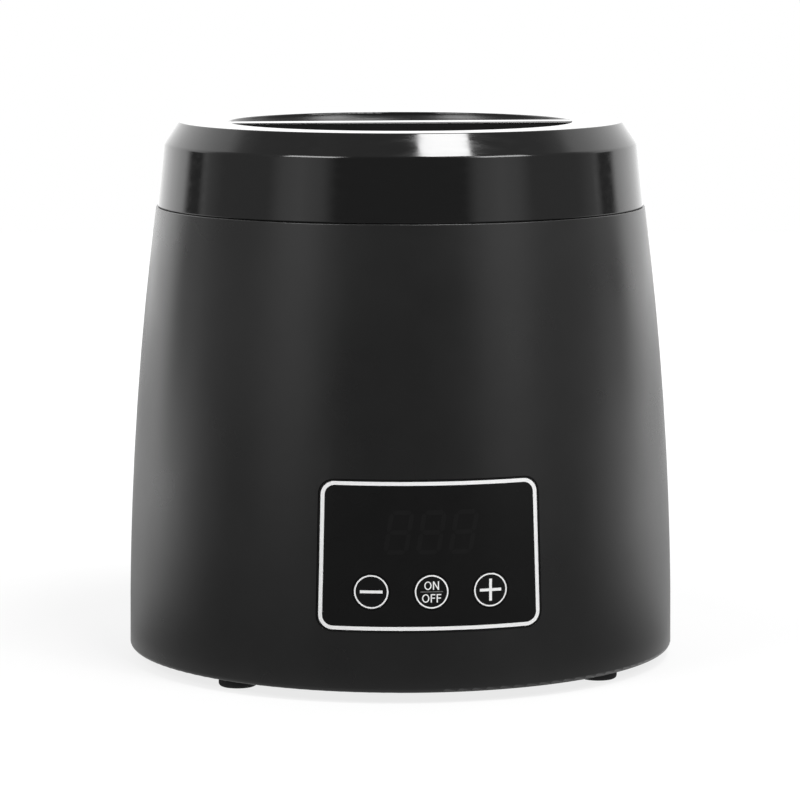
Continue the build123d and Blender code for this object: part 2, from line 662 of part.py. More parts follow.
def heating_element():
    """Tubular element, an open ring whose two ends turn down through the shield."""
    first, last = element_angles()
    ring = revolve(
        Plane.XZ * Pos(ELEMENT_RADIUS, HEATER_LOW_Z) * Circle(ELEMENT_TUBE_RADIUS),
        Axis.Z,
        revolution_arc=last - first,
    )
    element = Rot(0, 0, first) * ring
    for angle in (first, last):
        x, y = polar(ELEMENT_RADIUS, angle)
        element += Pos(x, y, HEATER_LOW_Z) * Sphere(ELEMENT_TUBE_RADIUS)
        element += post(TERMINAL_RADIUS, SHIELD_Z - BUSH_LENGTH, HEATER_LOW_Z, x, y)
    return element


def stud_spacer():
    """Tube on the stud between the heater plate and the shield."""
    tube = post(SPACER_RADIUS, SHIELD_FLOOR_Z, HEATER_LOW_Z)
    return tube - post(STUD_RADIUS + HOLE_CLEARANCE, SHIELD_FLOOR_Z, HEATER_LOW_Z)


def clamp_washer():
    low = SHIELD_Z - WASHER_THICKNESS
    return post(WASHER_RADIUS, low, SHIELD_Z) - post(STUD_RADIUS + HOLE_CLEARANCE, low, SHIELD_Z)


def clamp_nut():
    low = SHIELD_Z - WASHER_THICKNESS - NUT_THICKNESS
    hexagon = RegularPolygon(NUT_ACROSS_FLATS / 2, 6, major_radius=False)
    nut = Pos(0, 0, low) * extrude(hexagon, NUT_THICKNESS)
    return nut - post(STUD_RADIUS + THREAD_CLEARANCE, low, low + NUT_THICKNESS)


def shield_hole_places():
    """Where leads pass the shield: the element's two terminals, the sensor and the thermal fuse."""
    terminals = [polar(ELEMENT_RADIUS, angle) for angle in element_angles()]
    return [*terminals, (-SENSOR_OFFSET, SENSOR_LEAD_Y), (SENSOR_OFFSET, SENSOR_LEAD_Y)]


def heat_shield():
    """Pan under the heater, with a flange that carries the insulation."""
    inner = WELL_OUTER_RADIUS + FITTING_GAP + SHIELD_THICKNESS
    outer = inner + SHIELD_THICKNESS
    flange = inner + SHIELD_FLANGE_WIDTH
    shield = turned_outline(
        [
            (0, SHIELD_Z),
            (outer, SHIELD_Z),
            (outer, SHIELD_RIM_Z - SHIELD_THICKNESS),
            (flange, SHIELD_RIM_Z - SHIELD_THICKNESS),
            (flange, SHIELD_RIM_Z),
            (inner, SHIELD_RIM_Z),
            (inner, SHIELD_FLOOR_Z),
            (0, SHIELD_FLOOR_Z),
        ],
        rounds=[
            ((outer, SHIELD_Z), 3 * SHIELD_THICKNESS),
            ((inner, SHIELD_FLOOR_Z), 2 * SHIELD_THICKNESS),
        ],
    )
    shield -= post(STUD_RADIUS + HOLE_CLEARANCE, SHIELD_Z, SHIELD_FLOOR_Z)
    for x, y in shield_hole_places():
        shield -= post(BUSH_NECK_RADIUS + SEAT_GAP / 2, SHIELD_Z, SHIELD_FLOOR_Z, x, y)
    return shield


def lead_bushes():
    """Ceramic bushes that sit in the shield's lead holes."""
    bushes = []
    for x, y in shield_hole_places():
        neck = post(BUSH_NECK_RADIUS, SHIELD_Z - SHIELD_THICKNESS, SHIELD_FLOOR_Z, x, y)
        head = post(BUSH_RADIUS, SHIELD_FLOOR_Z, SHIELD_FLOOR_Z + BUSH_LENGTH, x, y)
        bushes.append(neck + head - post(TERMINAL_RADIUS + HOLE_CLEARANCE, 0, FAR, x, y))
    return bushes


def insulation_sleeve():
    """Glass-fibre sleeve round the well, standing on the shield's flange."""
    high = COLLAR_LOW_Z - BASE_GAP
    sleeve = post(INSULATION_RADIUS, SHIELD_RIM_Z, high)
    return sleeve - post(WELL_OUTER_RADIUS + FITTING_GAP, SHIELD_RIM_Z, high)


def sensor_capsule(x):
    """A round capsule that lies along Y against the underside of the heater plate."""
    capsule = post_y(SENSOR_RADIUS, -SENSOR_LENGTH / 2, SENSOR_LENGTH / 2, x, SENSOR_Z)
    return fillet(capsule.edges(), SENSOR_RADIUS / 4)


def sensor_straps():
    """Spring straps that hold the sensor and the thermal fuse to the plate."""
    inner = SENSOR_RADIUS + SEAT_GAP
    outer = inner + STRAP_THICKNESS
    low = SENSOR_Z - inner
    straps = []
    for side in (-1, 1):
        x = side * SENSOR_OFFSET
        width = around(0, STRAP_WIDTH)
        strap = block(around(x, 2 * outer), width, (low - STRAP_THICKNESS, HEATER_LOW_Z))
        strap += block(
            (x, x + side * (outer + STRAP_FOOT)), width, (HEATER_LOW_Z - STRAP_THICKNESS, HEATER_LOW_Z)
        )
        strap -= block(around(x, 2 * inner), width, (low, HEATER_LOW_Z))
        strap -= post(SMALL_SCREW_RADIUS + HOLE_CLEARANCE, low, HEATER_LOW_Z, strap_screw_x(side))
        straps.append(strap)
    return straps


def strap_screw_x(side):
    """X of the screw through a strap's foot."""
    return side * (SENSOR_OFFSET + SENSOR_RADIUS + SEAT_GAP + STRAP_THICKNESS + STRAP_FOOT / 2)


def strap_screws():
    seat = HEATER_LOW_Z - STRAP_THICKNESS
    return [Pos(strap_screw_x(side), 0, seat) * Rot(180, 0, 0) * small_screw() for side in (-1, 1)]


# ---------------------------------------------------------------- pot's bail and the lid
def bail_ears():
    """Two brackets on the pot's flange, each with a hole for one of the bail's hooks."""
    ears = []
    for side in (-1, 1):
        width = around(0, EAR_WIDTH)
        ear = block((side * EAR_INNER_X, side * EAR_OUTER_X), width, (POT_RIM_Z, BAIL_AXIS_Z))
        crown = Pos(0, 0, BAIL_AXIS_Z) * Rot(0, 90, 0) * Cylinder(EAR_WIDTH / 2, FAR)
        ear += crown & block((side * EAR_INNER_X, side * EAR_OUTER_X), width, (BAIL_AXIS_Z, FAR))
        ear += block(
            (side * (EAR_INNER_X - EAR_FOOT_LENGTH), side * EAR_OUTER_X),
            width,
            (POT_RIM_Z, POT_RIM_Z + EAR_THICKNESS),
        )
        hole = Rot(0, 90, 0) * Cylinder(BAIL_WIRE_RADIUS + HINGE_CLEARANCE, 3 * EAR_THICKNESS)
        ears.append(ear - Pos(side * EAR_OUTER_X, 0, BAIL_AXIS_Z) * hole)
    return ears


def bail():
    """Round wire bail that lies on the pot's flange, folded to the back."""
    hooks = [Line((side * HOOK_END_X, 0), (side * BAIL_RADIUS, 0)) for side in (1, -1)]
    bow = ThreePointArc((BAIL_RADIUS, 0), (0, BAIL_RADIUS), (-BAIL_RADIUS, 0))
    path = Wire([hooks[0].edge(), bow.edge(), hooks[1].edge()])
    elbows = [vertex for vertex in path.vertices() if abs(abs(vertex.X) - BAIL_RADIUS) < EAR_GAP]
    path = path.fillet_2d(BAIL_BEND_RADIUS, elbows)
    wire = sweep(Plane(origin=path @ 0, z_dir=path % 0) * Circle(BAIL_WIRE_RADIUS), path)
    return Pos(0, 0, BAIL_AXIS_Z) * Rot(-BAIL_DROOP, 0, 0) * wire


def lid():
    """Lid with a drafted skirt, a chamfer, a dished rim and a recess crossed by a hollow bar grip."""
    shoulder = LID_RADIUS - LID_SKIRT_DRAFT
    rim = shoulder - LID_CHAMFER_WIDTH
    rim_inner = (RECESS_RADIUS, LID_TOP_Z - RIM_DISH)
    brow = (RECESS_RADIUS - RECESS_BROW_DRAFT, LID_TOP_Z - RIM_DISH - RECESS_BROW_DEPTH)
    foot = RECESS_RADIUS - RECESS_DRAFT
    shell = turned_outline(
        [
            (LID_INNER_RADIUS, SEAM_Z),
            (LID_RADIUS, SEAM_Z),
            (shoulder, LID_SHOULDER_Z),
            (rim, LID_TOP_Z),
            rim_inner,
            brow,
            (foot, LID_FLOOR_Z),
            (0, LID_FLOOR_Z),
            (0, LID_FLOOR_LOW_Z),
            (foot + LID_WALL, LID_FLOOR_LOW_Z),
            (RECESS_RADIUS + LID_WALL, LID_TOP_Z - LID_WALL),
            (rim - LID_WALL / 2, LID_TOP_Z - LID_WALL),
            (shoulder - LID_WALL, LID_SHOULDER_Z - LID_WALL / 2),
        ],
        rounds=[
            ((LID_RADIUS, SEAM_Z), LID_FOOT_ROUND),
            ((shoulder, LID_SHOULDER_Z), LID_SHOULDER_ROUND),
            ((rim, LID_TOP_Z), LID_RIM_ROUND),
            (rim_inner, LID_RIM_ROUND),
            (brow, RECESS_BROW_ROUND),
            ((foot, LID_FLOOR_Z), LID_FLOOR),
        ],
    )
    recess = turned_outline(
        [
            (0, LID_FLOOR_LOW_Z),
            (foot + LID_WALL / 2, LID_FLOOR_LOW_Z),
            (RECESS_RADIUS + LID_WALL / 2, LID_TOP_Z),
            (0, LID_TOP_Z),
        ]
    )
    half = GRIP_WIDTH / 2
    section = Polyline(
        (-FAR, -half - GRIP_DRAFT, LID_FLOOR_LOW_Z),
        (-FAR, half + GRIP_DRAFT, LID_FLOOR_LOW_Z),
        (-FAR, half, GRIP_TOP_Z),
        (-FAR, -half, GRIP_TOP_Z),
        close=True,
    )
    grip = extrude(make_face(section), 2 * FAR, dir=(1, 0, 0))
    grip = fillet(grip.edges().filter_by(Axis.X).group_by(Axis.Z)[-1], GRIP_ROUND)
    hollow_length = 2 * (foot - GRIP_WALL)
    hollow = block(
        around(0, hollow_length),
        around(0, GRIP_WIDTH - 2 * GRIP_WALL),
        (LID_FLOOR_LOW_Z, GRIP_TOP_Z - GRIP_WALL),
    )
    return shell + (grip & recess) - hollow


# ---------------------------------------------------------------- control panel and keys
def control_panel():
    """Overlay that follows the casing, with a hole for each key."""
    panel = skin(-PANEL_SINK, PANEL_PROUD, BOTTOM_Z, SEAM_Z) & panel_prism()
    for x in KEY_XS.values():
        panel -= post_y(KEY_RADIUS + ASSEMBLY_GAP, BOARD_FRONT_Y, -FAR, x, KEY_Z)
    return panel


def key_flange_y(x):
    """Front of a key's flange, just behind the panel."""
    reach = KEY_RADIUS + KEY_FLANGE
    back = side_radius(KEY_Z + reach, -PANEL_SINK)
    return SEAT_GAP - sqrt(back**2 - (abs(x) + reach) ** 2)


def key_cap(x):
    """Round key whose face follows the panel, with a flange behind it and a stem to its switch."""
    front = key_flange_y(x)
    back = front + KEY_FLANGE_DEPTH
    cap = post_y(KEY_RADIUS, back, -FAR, x, KEY_Z) & space_within(PANEL_PROUD)
    cap += post_y(KEY_RADIUS + KEY_FLANGE, front, back, x, KEY_Z)
    return cap + post_y(KEY_STEM_RADIUS, back, PLUNGER_FRONT_Y, x, KEY_Z)


def switch_plunger(x):
    return post_y(PLUNGER_RADIUS, PLUNGER_FRONT_Y, PLUNGER_FRONT_Y + PLUNGER_LENGTH, x, KEY_Z)


def key_switches():
    """Switch bodies on the display board, each bored for its plunger."""
    bore_end = PLUNGER_FRONT_Y + PLUNGER_LENGTH + KEY_TRAVEL + SEAT_GAP
    switches = []
    for x in KEY_XS.values():
        body = block(around(x, SWITCH_SIZE), (SWITCH_FRONT_Y, BOARD_FRONT_Y), around(KEY_Z, SWITCH_SIZE))
        bore = post_y(PLUNGER_RADIUS + ASSEMBLY_GAP, SWITCH_FRONT_Y, bore_end, x, KEY_Z)
        switches.append(body - bore)
    return switches


def display_board():
    board = block(
        around(0, DISPLAY_BOARD_WIDTH), (BOARD_FRONT_Y, BOARD_BACK_Y), (BOARD_LOW_Z, BOARD_HIGH_Z)
    )
    for x, z in DISPLAY_SCREWS:
        board -= post_y(SMALL_SCREW_RADIUS + HOLE_CLEARANCE, BOARD_FRONT_Y, BOARD_BACK_Y, x, z)
    return board


def display_board_screws():
    return [Pos(x, BOARD_BACK_Y, z) * Rot(-90, 0, 0) * small_screw() for x, z in DISPLAY_SCREWS]


def led_display():
    """Three-digit display block on the display board, just behind the panel."""
    display = block(
        around(0, DISPLAY_WIDTH),
        (BOARD_FRONT_Y - DISPLAY_DEPTH, BOARD_FRONT_Y),
        around(PANEL_LOW_Z + DISPLAY_HEIGHT, DISPLAY_TALL),
    )
    return chamfer(display.edges().group_by(Axis.Y)[0], SMALL_SCREW_RADIUS / 2)


def control_chip():
    """Microcontroller on the back of the display board."""
    length, height, width = CHIP_SIZE
    return block(
        around(0, length),
        (BOARD_BACK_Y, BOARD_BACK_Y + height),
        around(PANEL_LOW_Z + DISPLAY_HEIGHT, width),
    )


# ---------------------------------------------------------------- mains inlet
def figure_eight(radius, start, end):
    """The socket's two round lobes and the bridge between them, along Y."""
    lobes = [post_y(radius, start, end, side * SOCKET_PITCH / 2, INLET_Z) for side in (-1, 1)]
    return block(around(0, SOCKET_PITCH), (start, end), around(INLET_Z, 2 * radius)) + lobes


def inlet_housing():
    """Two-pole inlet: a flange in the back wall, a figure-of-eight socket and two snap barbs."""
    flange = block(around(0, INLET_FLANGE[0]), (INLET_SEAT_Y, INLET_FACE_Y), around(INLET_Z, INLET_FLANGE[1]))
    flange = fillet(flange.edges().filter_by(Axis.Y), INLET_FLANGE_THICKNESS)
    back = INLET_FACE_Y - INLET_DEPTH
    body = block(around(0, INLET_BODY[0]), (back, INLET_SEAT_Y), around(INLET_Z, INLET_BODY[1]))
    housing = flange + body
    for side in (-1, 1):
        root = side * INLET_BODY[0] / 2
        outline = Polyline(
            (root, INLET_PAD_Y),
            (root + side * INLET_BARB, INLET_PAD_Y),
            (root, INLET_PAD_Y - 4 * INLET_BARB),
            close=True,
        )
        barb = extrude(make_face(outline), INLET_BODY[1] / 3, both=True)
        housing += Pos(0, 0, INLET_Z) * barb
    housing -= figure_eight(SOCKET_LOBE_RADIUS, INLET_FACE_Y - SOCKET_DEPTH, INLET_FACE_Y)
    for side in (-1, 1):
        housing -= post_y(PIN_RADIUS, back, INLET_FACE_Y, side * SOCKET_PITCH / 2, INLET_Z)
    return housing


def inlet_pins():
    """Two contact pins through the back of the socket, with round tails inside."""
    front = INLET_FACE_Y - SOCKET_DEPTH + PIN_LENGTH
    pins = []
    for side in (-1, 1):
        pin = post_y(PIN_RADIUS, INLET_TAB_Y, front, side * SOCKET_PITCH / 2, INLET_Z)
        pins.append(fillet(pin.edges().group_by(Axis.Y)[-1], PIN_RADIUS / 2))
    return pins


# ---------------------------------------------------------------- main board
def on_board(size, x, y, gap=0.0):
    """A box that stands on the main board."""
    low = MAIN_BOARD_Z + gap
    return block(around(x, size[0]), around(y, size[1]), (low, low + size[2]))


def main_board():
    board = block(around(0, BOARD_SIZE[0]), around(0, BOARD_SIZE[1]), (MAIN_BOARD_LOW_Z, MAIN_BOARD_Z))
    board = fillet(board.edges().filter_by(Axis.Z), BOARD_THICKNESS)
    for x, y in MAIN_BOARD_SCREWS:
        board -= post(SMALL_SCREW_RADIUS + HOLE_CLEARANCE, MAIN_BOARD_LOW_Z, MAIN_BOARD_Z, x, y)
    return board


def board_screws():
    return [Pos(x, y, MAIN_BOARD_Z) * small_screw() for x, y in MAIN_BOARD_SCREWS]


def terminal_blocks():
    """One four-way block for the mains at the back and one for the heater at the front."""
    blocks = []
    for side in (-1, 1):
        terminals = on_board(TERMINAL_BLOCK, 0, side * TERMINAL_Y)
        face = side * (TERMINAL_Y + TERMINAL_BLOCK[1] / 2)
        for way in range(4):
            x = (way - 1.5) * TERMINAL_PITCH
            terminals -= post_y(LEAD_RADIUS + HOLE_CLEARANCE, face, face - side * ENTRY_DEPTH, x, ENTRY_Z)
            screw_well = MAIN_BOARD_Z + TERMINAL_BLOCK[2]
            terminals -= post(LEAD_RADIUS, screw_well - SCREW_WELL_DEPTH, screw_well, x, side * TERMINAL_Y)
        blocks.append(terminals)
    return blocks


def transformer_core():
    """Stack of E and I plates: a frame with a middle limb."""
    x, y = TRANSFORMER_AT
    core = on_board(CORE_SIZE, x, y, COIL_FOOT)
    window = (CORE_SIZE[0] - 4 * CORE_LIMB) / 2
    low = MAIN_BOARD_Z + COIL_FOOT + CORE_LIMB
    high = MAIN_BOARD_Z + COIL_FOOT + CORE_SIZE[2] - CORE_LIMB
    for side in (-1, 1):
        middle = x + side * (CORE_LIMB + window / 2)
        core -= block(around(middle, window), around(y, 2 * CORE_SIZE[1]), (low, high))
    return core


def transformer_coil():
    """Bobbin and winding round the core's middle limb, with two feet on the board."""
    x, y = TRANSFORMER_AT
    width = CORE_SIZE[0] - 2 * CORE_LIMB - 2 * SEAT_GAP
    height = CORE_SIZE[2] - 2 * CORE_LIMB - 2 * SEAT_GAP
    low = COIL_FOOT + CORE_LIMB + SEAT_GAP
    coil = on_board((width, COIL_DEPTH, height), x, y, low)
    coil = fillet(coil.edges().filter_by(Axis.Y), CORE_LIMB / 4)
    limb = on_board((2 * CORE_LIMB + 2 * SEAT_GAP, 2 * COIL_DEPTH, 2 * CORE_SIZE[2]), x, y)
    coil -= limb & on_board((FAR, CORE_SIZE[1] + 2 * SEAT_GAP, FAR), x, y)
    for side in (-1, 1):
        leg = (width, (COIL_DEPTH - CORE_SIZE[1]) / 2 - SEAT_GAP, low + CORE_LIMB)
        coil += on_board(leg, x, y + side * (COIL_DEPTH - leg[1]) / 2)
    return coil


def relay():
    case = on_board(RELAY_SIZE, *RELAY_AT)
    return chamfer(case.edges().group_by(Axis.Z)[-1], SMALL_SCREW_RADIUS / 2)


def film_capacitor():
    case = on_board(FILM_CAPACITOR_SIZE, *FILM_CAPACITOR_AT)
    return fillet(case.edges().group_by(Axis.Z)[-1], SMALL_SCREW_RADIUS / 2)


def smoothing_capacitor():
    x, y = SMOOTHING_CAPACITOR_AT
    radius = SMOOTHING_CAPACITOR[0]
    can = post(radius, MAIN_BOARD_Z, MAIN_BOARD_Z + SMOOTHING_CAPACITOR[1], x, y)
    return fillet(can.edges().group_by(Axis.Z)[-1], radius / 8)


def glass_fuse():
    """Cartridge fuse along X, with metal caps a little wider than its glass."""
    x, y = FUSE_AT
    glass = Cylinder(FUSE_RADIUS - FUSE_CAP_STEP, FUSE_LENGTH)
    cap = Cylinder(FUSE_RADIUS, FUSE_CAP_LENGTH)
    caps = [Pos(0, 0, side * (FUSE_LENGTH - FUSE_CAP_LENGTH) / 2) * cap for side in (-1, 1)]
    return Pos(x, y, FUSE_Z) * Rot(0, 90, 0) * (glass + caps)


def fuse_clips():
    """Spring clips that hold the fuse's two caps."""
    x, y = FUSE_AT
    inner = FUSE_RADIUS + THREAD_CLEARANCE
    outer = inner + STRAP_THICKNESS
    clips = []
    for side in (-1, 1):
        middle = x + side * (FUSE_LENGTH - FUSE_CAP_LENGTH) / 2
        ring = Cylinder(outer, FUSE_CAP_LENGTH) - Cylinder(inner, FUSE_CAP_LENGTH)
        clip = Pos(middle, y, FUSE_Z) * Rot(0, 90, 0) * ring
        mouth = around(y, inner)
        clip -= block(around(middle, FUSE_LENGTH), mouth, (FUSE_Z, FUSE_Z + 2 * outer))
        stem = block(around(middle, FUSE_CAP_LENGTH), around(y, FUSE_RADIUS), (MAIN_BOARD_Z, FUSE_Z))
        clips.append(clip + (stem - Pos(middle, y, FUSE_Z) * Rot(0, 90, 0) * Cylinder(inner, FAR)))
    return clips


def ribbon_headers():
    """The ribbon's two sockets, on the back of the display board and on the main board."""
    length, depth, height = HEADER_SIZE
    upper = block(
        around(RIBBON_X, length), (BOARD_BACK_Y, BOARD_BACK_Y + height), around(RIBBON_HIGH_Z, depth)
    )
    return [upper, on_board((length, depth, height), RIBBON_X, RIBBON_LOW_Y)]


def ribbon_cable():
    """Flat ribbon from the display board back and down to the main board."""
    start = BOARD_BACK_Y + HEADER_SIZE[2]
    low = MAIN_BOARD_Z + HEADER_SIZE[2]
    corners = [(start, RIBBON_HIGH_Z), *RIBBON_ROUTE, (RIBBON_LOW_Y, low)]
    path = FilletPolyline(*corners, radius=RIBBON_BENDS)
    flat = extrude(Plane.YZ * trace(path, RIBBON_THICKNESS), RIBBON_WIDTH / 2, both=True)
    return Pos(RIBBON_X, 0, 0) * flat


# ---------------------------------------------------------------- leads
def mains_lead(side):
    """From an inlet pin's tail to the mains terminal block."""
    x = side * TERMINAL_PITCH / 2
    face = TERMINAL_Y + TERMINAL_BLOCK[1] / 2
    return lead(
        [
            (side * SOCKET_PITCH / 2, INLET_TAB_Y, INLET_Z),
            (side * SOCKET_PITCH / 2, INLET_TAB_Y - 7, INLET_Z),
            (side * 5.6, INLET_TAB_Y - 14, INLET_Z - 2.5),
            (x, face + 6, ENTRY_Z),
            (x, face - ENTRY_DEPTH, ENTRY_Z),
        ]
    )


def heater_leads():
    """From the element's terminals, down in front of the board and back into its block."""
    leads = []
    x, y = polar(ELEMENT_RADIUS, element_angles()[0])
    top = SHIELD_Z - BUSH_LENGTH
    face = -TERMINAL_Y - TERMINAL_BLOCK[1] / 2
    entry_x = 1.5 * TERMINAL_PITCH
    for side in (-1, 1):
        route = [
            (side * x, y, top),
            (side * x, y, top - 7),
            (side * (x + 0.8), y - 7, top - 13),
            (side * (x + 0.9), face - 12, ENTRY_Z + 4),
            (side * entry_x, face - 6, ENTRY_Z),
            (side * entry_x, face + ENTRY_DEPTH, ENTRY_Z),
        ]
        leads.append(lead(route))
    return leads


def capsule_lead(side):
    """From a capsule's back end, down through its bush to the main board."""
    x = side * SENSOR_OFFSET
    return lead(
        [
            (x, SENSOR_LENGTH / 2, SENSOR_Z),
            (x, SENSOR_LEAD_Y, SENSOR_Z),
            (x, SENSOR_LEAD_Y, SHIELD_Z - 6),
            (x + side * 1.5, SENSOR_LEAD_Y + 1, SHIELD_Z - 16),
            (x + side * 0.5, SENSOR_LEAD_Y, MAIN_BOARD_Z + 7),
            (x + side * 0.5, SENSOR_LEAD_Y, MAIN_BOARD_Z),
        ]
    )


# ---------------------------------------------------------------- every node
NODES = {
    "body_shell": body_shell(),
    "base_plate": base_plate(),
    "rubber_feet": rubber_feet(),
    "base_screws": base_screws(),
    "control_panel": control_panel(),
    "pot_collar": pot_collar(),
    "collar_screws": collar_screws(),
    "heating_well": heating_well(),
    "heater_plate": heater_plate(),
    "heating_element": heating_element(),
    "stud_spacer": stud_spacer(),
    "clamp_washer": clamp_washer(),
    "clamp_nut": clamp_nut(),
    "heat_shield": heat_shield(),
    "lead_bushes": lead_bushes(),
    "insulation_sleeve": insulation_sleeve(),
    "temperature_sensor": sensor_capsule(SENSOR_OFFSET),
    "thermal_fuse": sensor_capsule(-SENSOR_OFFSET),
    "sensor_straps": sensor_straps(),
    "strap_screws": strap_screws(),
    "main_board": main_board(),
    "board_screws": board_screws(),
    "terminal_blocks": terminal_blocks(),
    "transformer_core": transformer_core(),
    "transformer_coil": transformer_coil(),
    "relay": relay(),
    "film_capacitor": film_capacitor(),
    "smoothing_capacitor": smoothing_capacitor(),
    "glass_fuse": glass_fuse(),
    "fuse_clips": fuse_clips(),
    "display_board": display_board(),
    "display_board_screws": display_board_screws(),
    "led_display": led_display(),
    "key_switches": key_switches(),
    "control_chip": control_chip(),
    "ribbon_headers": ribbon_headers(),
    "ribbon_cable": ribbon_cable(),
    "inlet_housing": inlet_housing(),
    "inlet_pins": inlet_pins(),
    "live_lead": mains_lead(1),
    "neutral_lead": mains_lead(-1),
    "heater_leads": heater_leads(),
    "sensor_lead": capsule_lead(1),
    "thermal_fuse_lead": capsule_lead(-1),
    "wax_pot": wax_pot(),
    "bail_ears": bail_ears(),
    "bail": bail(),
    "lid": lid(),
}
for name, key_x in KEY_XS.items():
    NODES[f"key_{name}"] = key_cap(key_x)
    NODES[f"plunger_{name}"] = switch_plunger(key_x)

os.makedirs("parts", exist_ok=True)
for name, shape in NODES.items():
    solids = shape if isinstance(shape, list) else [shape]
    node = Compound(children=[solid for piece in solids for solid in piece.solids()])
    export_step(node, f"parts/{name}.step")
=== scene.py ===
"""Looks of the wax heater: finishes, printed graphics, a pale studio and the camera."""

import json
from math import atan2, cos, pi, radians, sin, tan

import bmesh
import bpy
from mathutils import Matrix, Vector
from mathutils.bvhtree import BVHTree


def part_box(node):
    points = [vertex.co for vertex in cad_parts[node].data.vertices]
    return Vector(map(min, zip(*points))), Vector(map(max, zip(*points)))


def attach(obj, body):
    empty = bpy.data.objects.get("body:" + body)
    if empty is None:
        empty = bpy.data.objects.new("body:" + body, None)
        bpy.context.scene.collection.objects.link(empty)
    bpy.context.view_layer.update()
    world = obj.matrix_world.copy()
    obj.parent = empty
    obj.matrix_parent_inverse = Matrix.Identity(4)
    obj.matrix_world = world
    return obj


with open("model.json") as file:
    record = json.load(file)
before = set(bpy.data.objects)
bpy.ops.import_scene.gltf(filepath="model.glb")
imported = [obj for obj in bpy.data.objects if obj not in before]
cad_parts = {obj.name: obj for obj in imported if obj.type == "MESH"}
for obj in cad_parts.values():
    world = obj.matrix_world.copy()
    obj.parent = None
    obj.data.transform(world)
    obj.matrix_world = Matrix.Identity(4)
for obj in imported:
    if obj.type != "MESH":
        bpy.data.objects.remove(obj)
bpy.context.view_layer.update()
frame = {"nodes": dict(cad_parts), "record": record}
CAD_NODES = frame["nodes"]
MM = 0.001


def grey(level):
    return (level, level, level)


def scaled(colour, share):
    return [channel * share for channel in colour]


def opaque(colour):
    return (*colour, 1)


WHITE = opaque(grey(1))


# ---------------------------------------------------------------- node helpers
class ShaderTree:
    """A shader node tree and the few node-building calls that every material and the world use."""

    def __init__(self, tree, coordinates):
        self.tree = tree
        self.place = self.add("ShaderNodeTexCoord").outputs[coordinates]

    def add(self, kind, **settings):
        node = self.tree.nodes.new(kind)
        for key, value in settings.items():
            setattr(node, key, value)
        return node

    def feed(self, value, socket):
        """Links a socket from another node's output, or gives it a plain number or colour."""
        if isinstance(value, bpy.types.NodeSocket):
            self.tree.links.new(value, socket)
        else:
            socket.default_value = value

    def maths(self, operation, first, second=0.0):
        node = self.add("ShaderNodeMath", operation=operation)
        self.feed(first, node.inputs[0])
        self.feed(second, node.inputs[1])
        return node.outputs["Value"]

    def mix(self, kind, factor, first, second):
        """first where the factor is 0 and second where it is 1. kind is FLOAT or RGBA."""
        node = self.add("ShaderNodeMix", data_type=kind)
        self.feed(factor, node.inputs["Factor"])
        self.feed(first, node.inputs["A"])
        self.feed(second, node.inputs["B"])
        return node.outputs["Result"]

    def remap(self, value, low, high, start=0.0, end=1.0, smooth=False):
        """The value's span from start to end, carried to low and high."""
        kind = "SMOOTHSTEP" if smooth else "LINEAR"
        node = self.add("ShaderNodeMapRange", interpolation_type=kind)
        self.feed(value, node.inputs["Value"])
        self.feed(start, node.inputs["From Min"])
        self.feed(end, node.inputs["From Max"])
        self.feed(low, node.inputs["To Min"])
        self.feed(high, node.inputs["To Max"])
        return node.outputs["Result"]

    def ramp(self, value, stops):
        """Grey levels at positions from 0 to 1, joined by straight lines."""
        node = self.add("ShaderNodeValToRGB")
        elements = node.color_ramp.elements
        for element, (position, level) in zip(elements, (stops[0], stops[-1])):
            element.position = position
            element.color = opaque(grey(level))
        for position, level in stops[1:-1]:
            elements.new(position).color = opaque(grey(level))
        self.feed(value, node.inputs["Fac"])
        return node.outputs["Color"]

    def split(self, vector):
        """The vector's X, Y and Z."""
        node = self.add("ShaderNodeSeparateXYZ")
        self.feed(vector, node.inputs["Vector"])
        return node.outputs

    def length(self, vector):
        node = self.add("ShaderNodeVectorMath", operation="LENGTH")
        self.feed(vector, node.inputs[0])
        return node.outputs["Value"]

    def stretched(self, stretch):
        """The coordinates, scaled along each axis."""
        node = self.add("ShaderNodeMapping")
        self.feed(stretch, node.inputs["Scale"])
        self.feed(self.place, node.inputs["Vector"])
        return node.outputs["Vector"]

    def radius(self):
        """How far a point is from the Z axis."""
        return self.length(self.stretched((1, 1, 0)))

    def noise(self, size, detail, stretch=(1, 1, 1), place=None):
        """Noise with features about size metres across."""
        node = self.add("ShaderNodeTexNoise")
        self.feed(1 / size, node.inputs["Scale"])
        self.feed(detail, node.inputs["Detail"])
        self.feed(place or self.stretched(stretch), node.inputs["Vector"])
        return node.outputs["Fac"]


class Finish(ShaderTree):
    """A material on the Principled shader."""

    def __init__(self, name, colour, roughness, **sockets):
        self.material = bpy.data.materials.new(name)
        self.material.use_nodes = True
        super().__init__(self.material.node_tree, "Object")
        self.shader = self.tree.nodes["Principled BSDF"]
        self.normal = None
        self.set("Base Color", opaque(colour))
        self.set("Roughness", roughness)
        for socket, value in sockets.items():
            self.set(socket.replace("_", " "), value)

    def set(self, socket, value):
        self.feed(value, self.shader.inputs[socket])

    def rough(self, value, low, high, start=0.3, end=0.7):
        """Roughness that wanders between low and high."""
        self.set("Roughness", self.remap(value, low, high, start, end))

    def tint(self, value, first, second, start=0.3, end=0.7):
        """Colour that wanders between two."""
        share = self.remap(value, 0, 1, start, end)
        self.set("Base Color", self.mix("RGBA", share, opaque(first), opaque(second)))

    def bump(self, height, depth):
        """Relief of the given depth in metres, laid over any earlier relief."""
        node = self.add("ShaderNodeBump")
        self.feed(depth, node.inputs["Distance"])
        self.feed(height, node.inputs["Height"])
        if self.normal:
            self.feed(self.normal, node.inputs["Normal"])
        self.normal = node.outputs["Normal"]
        self.set("Normal", self.normal)


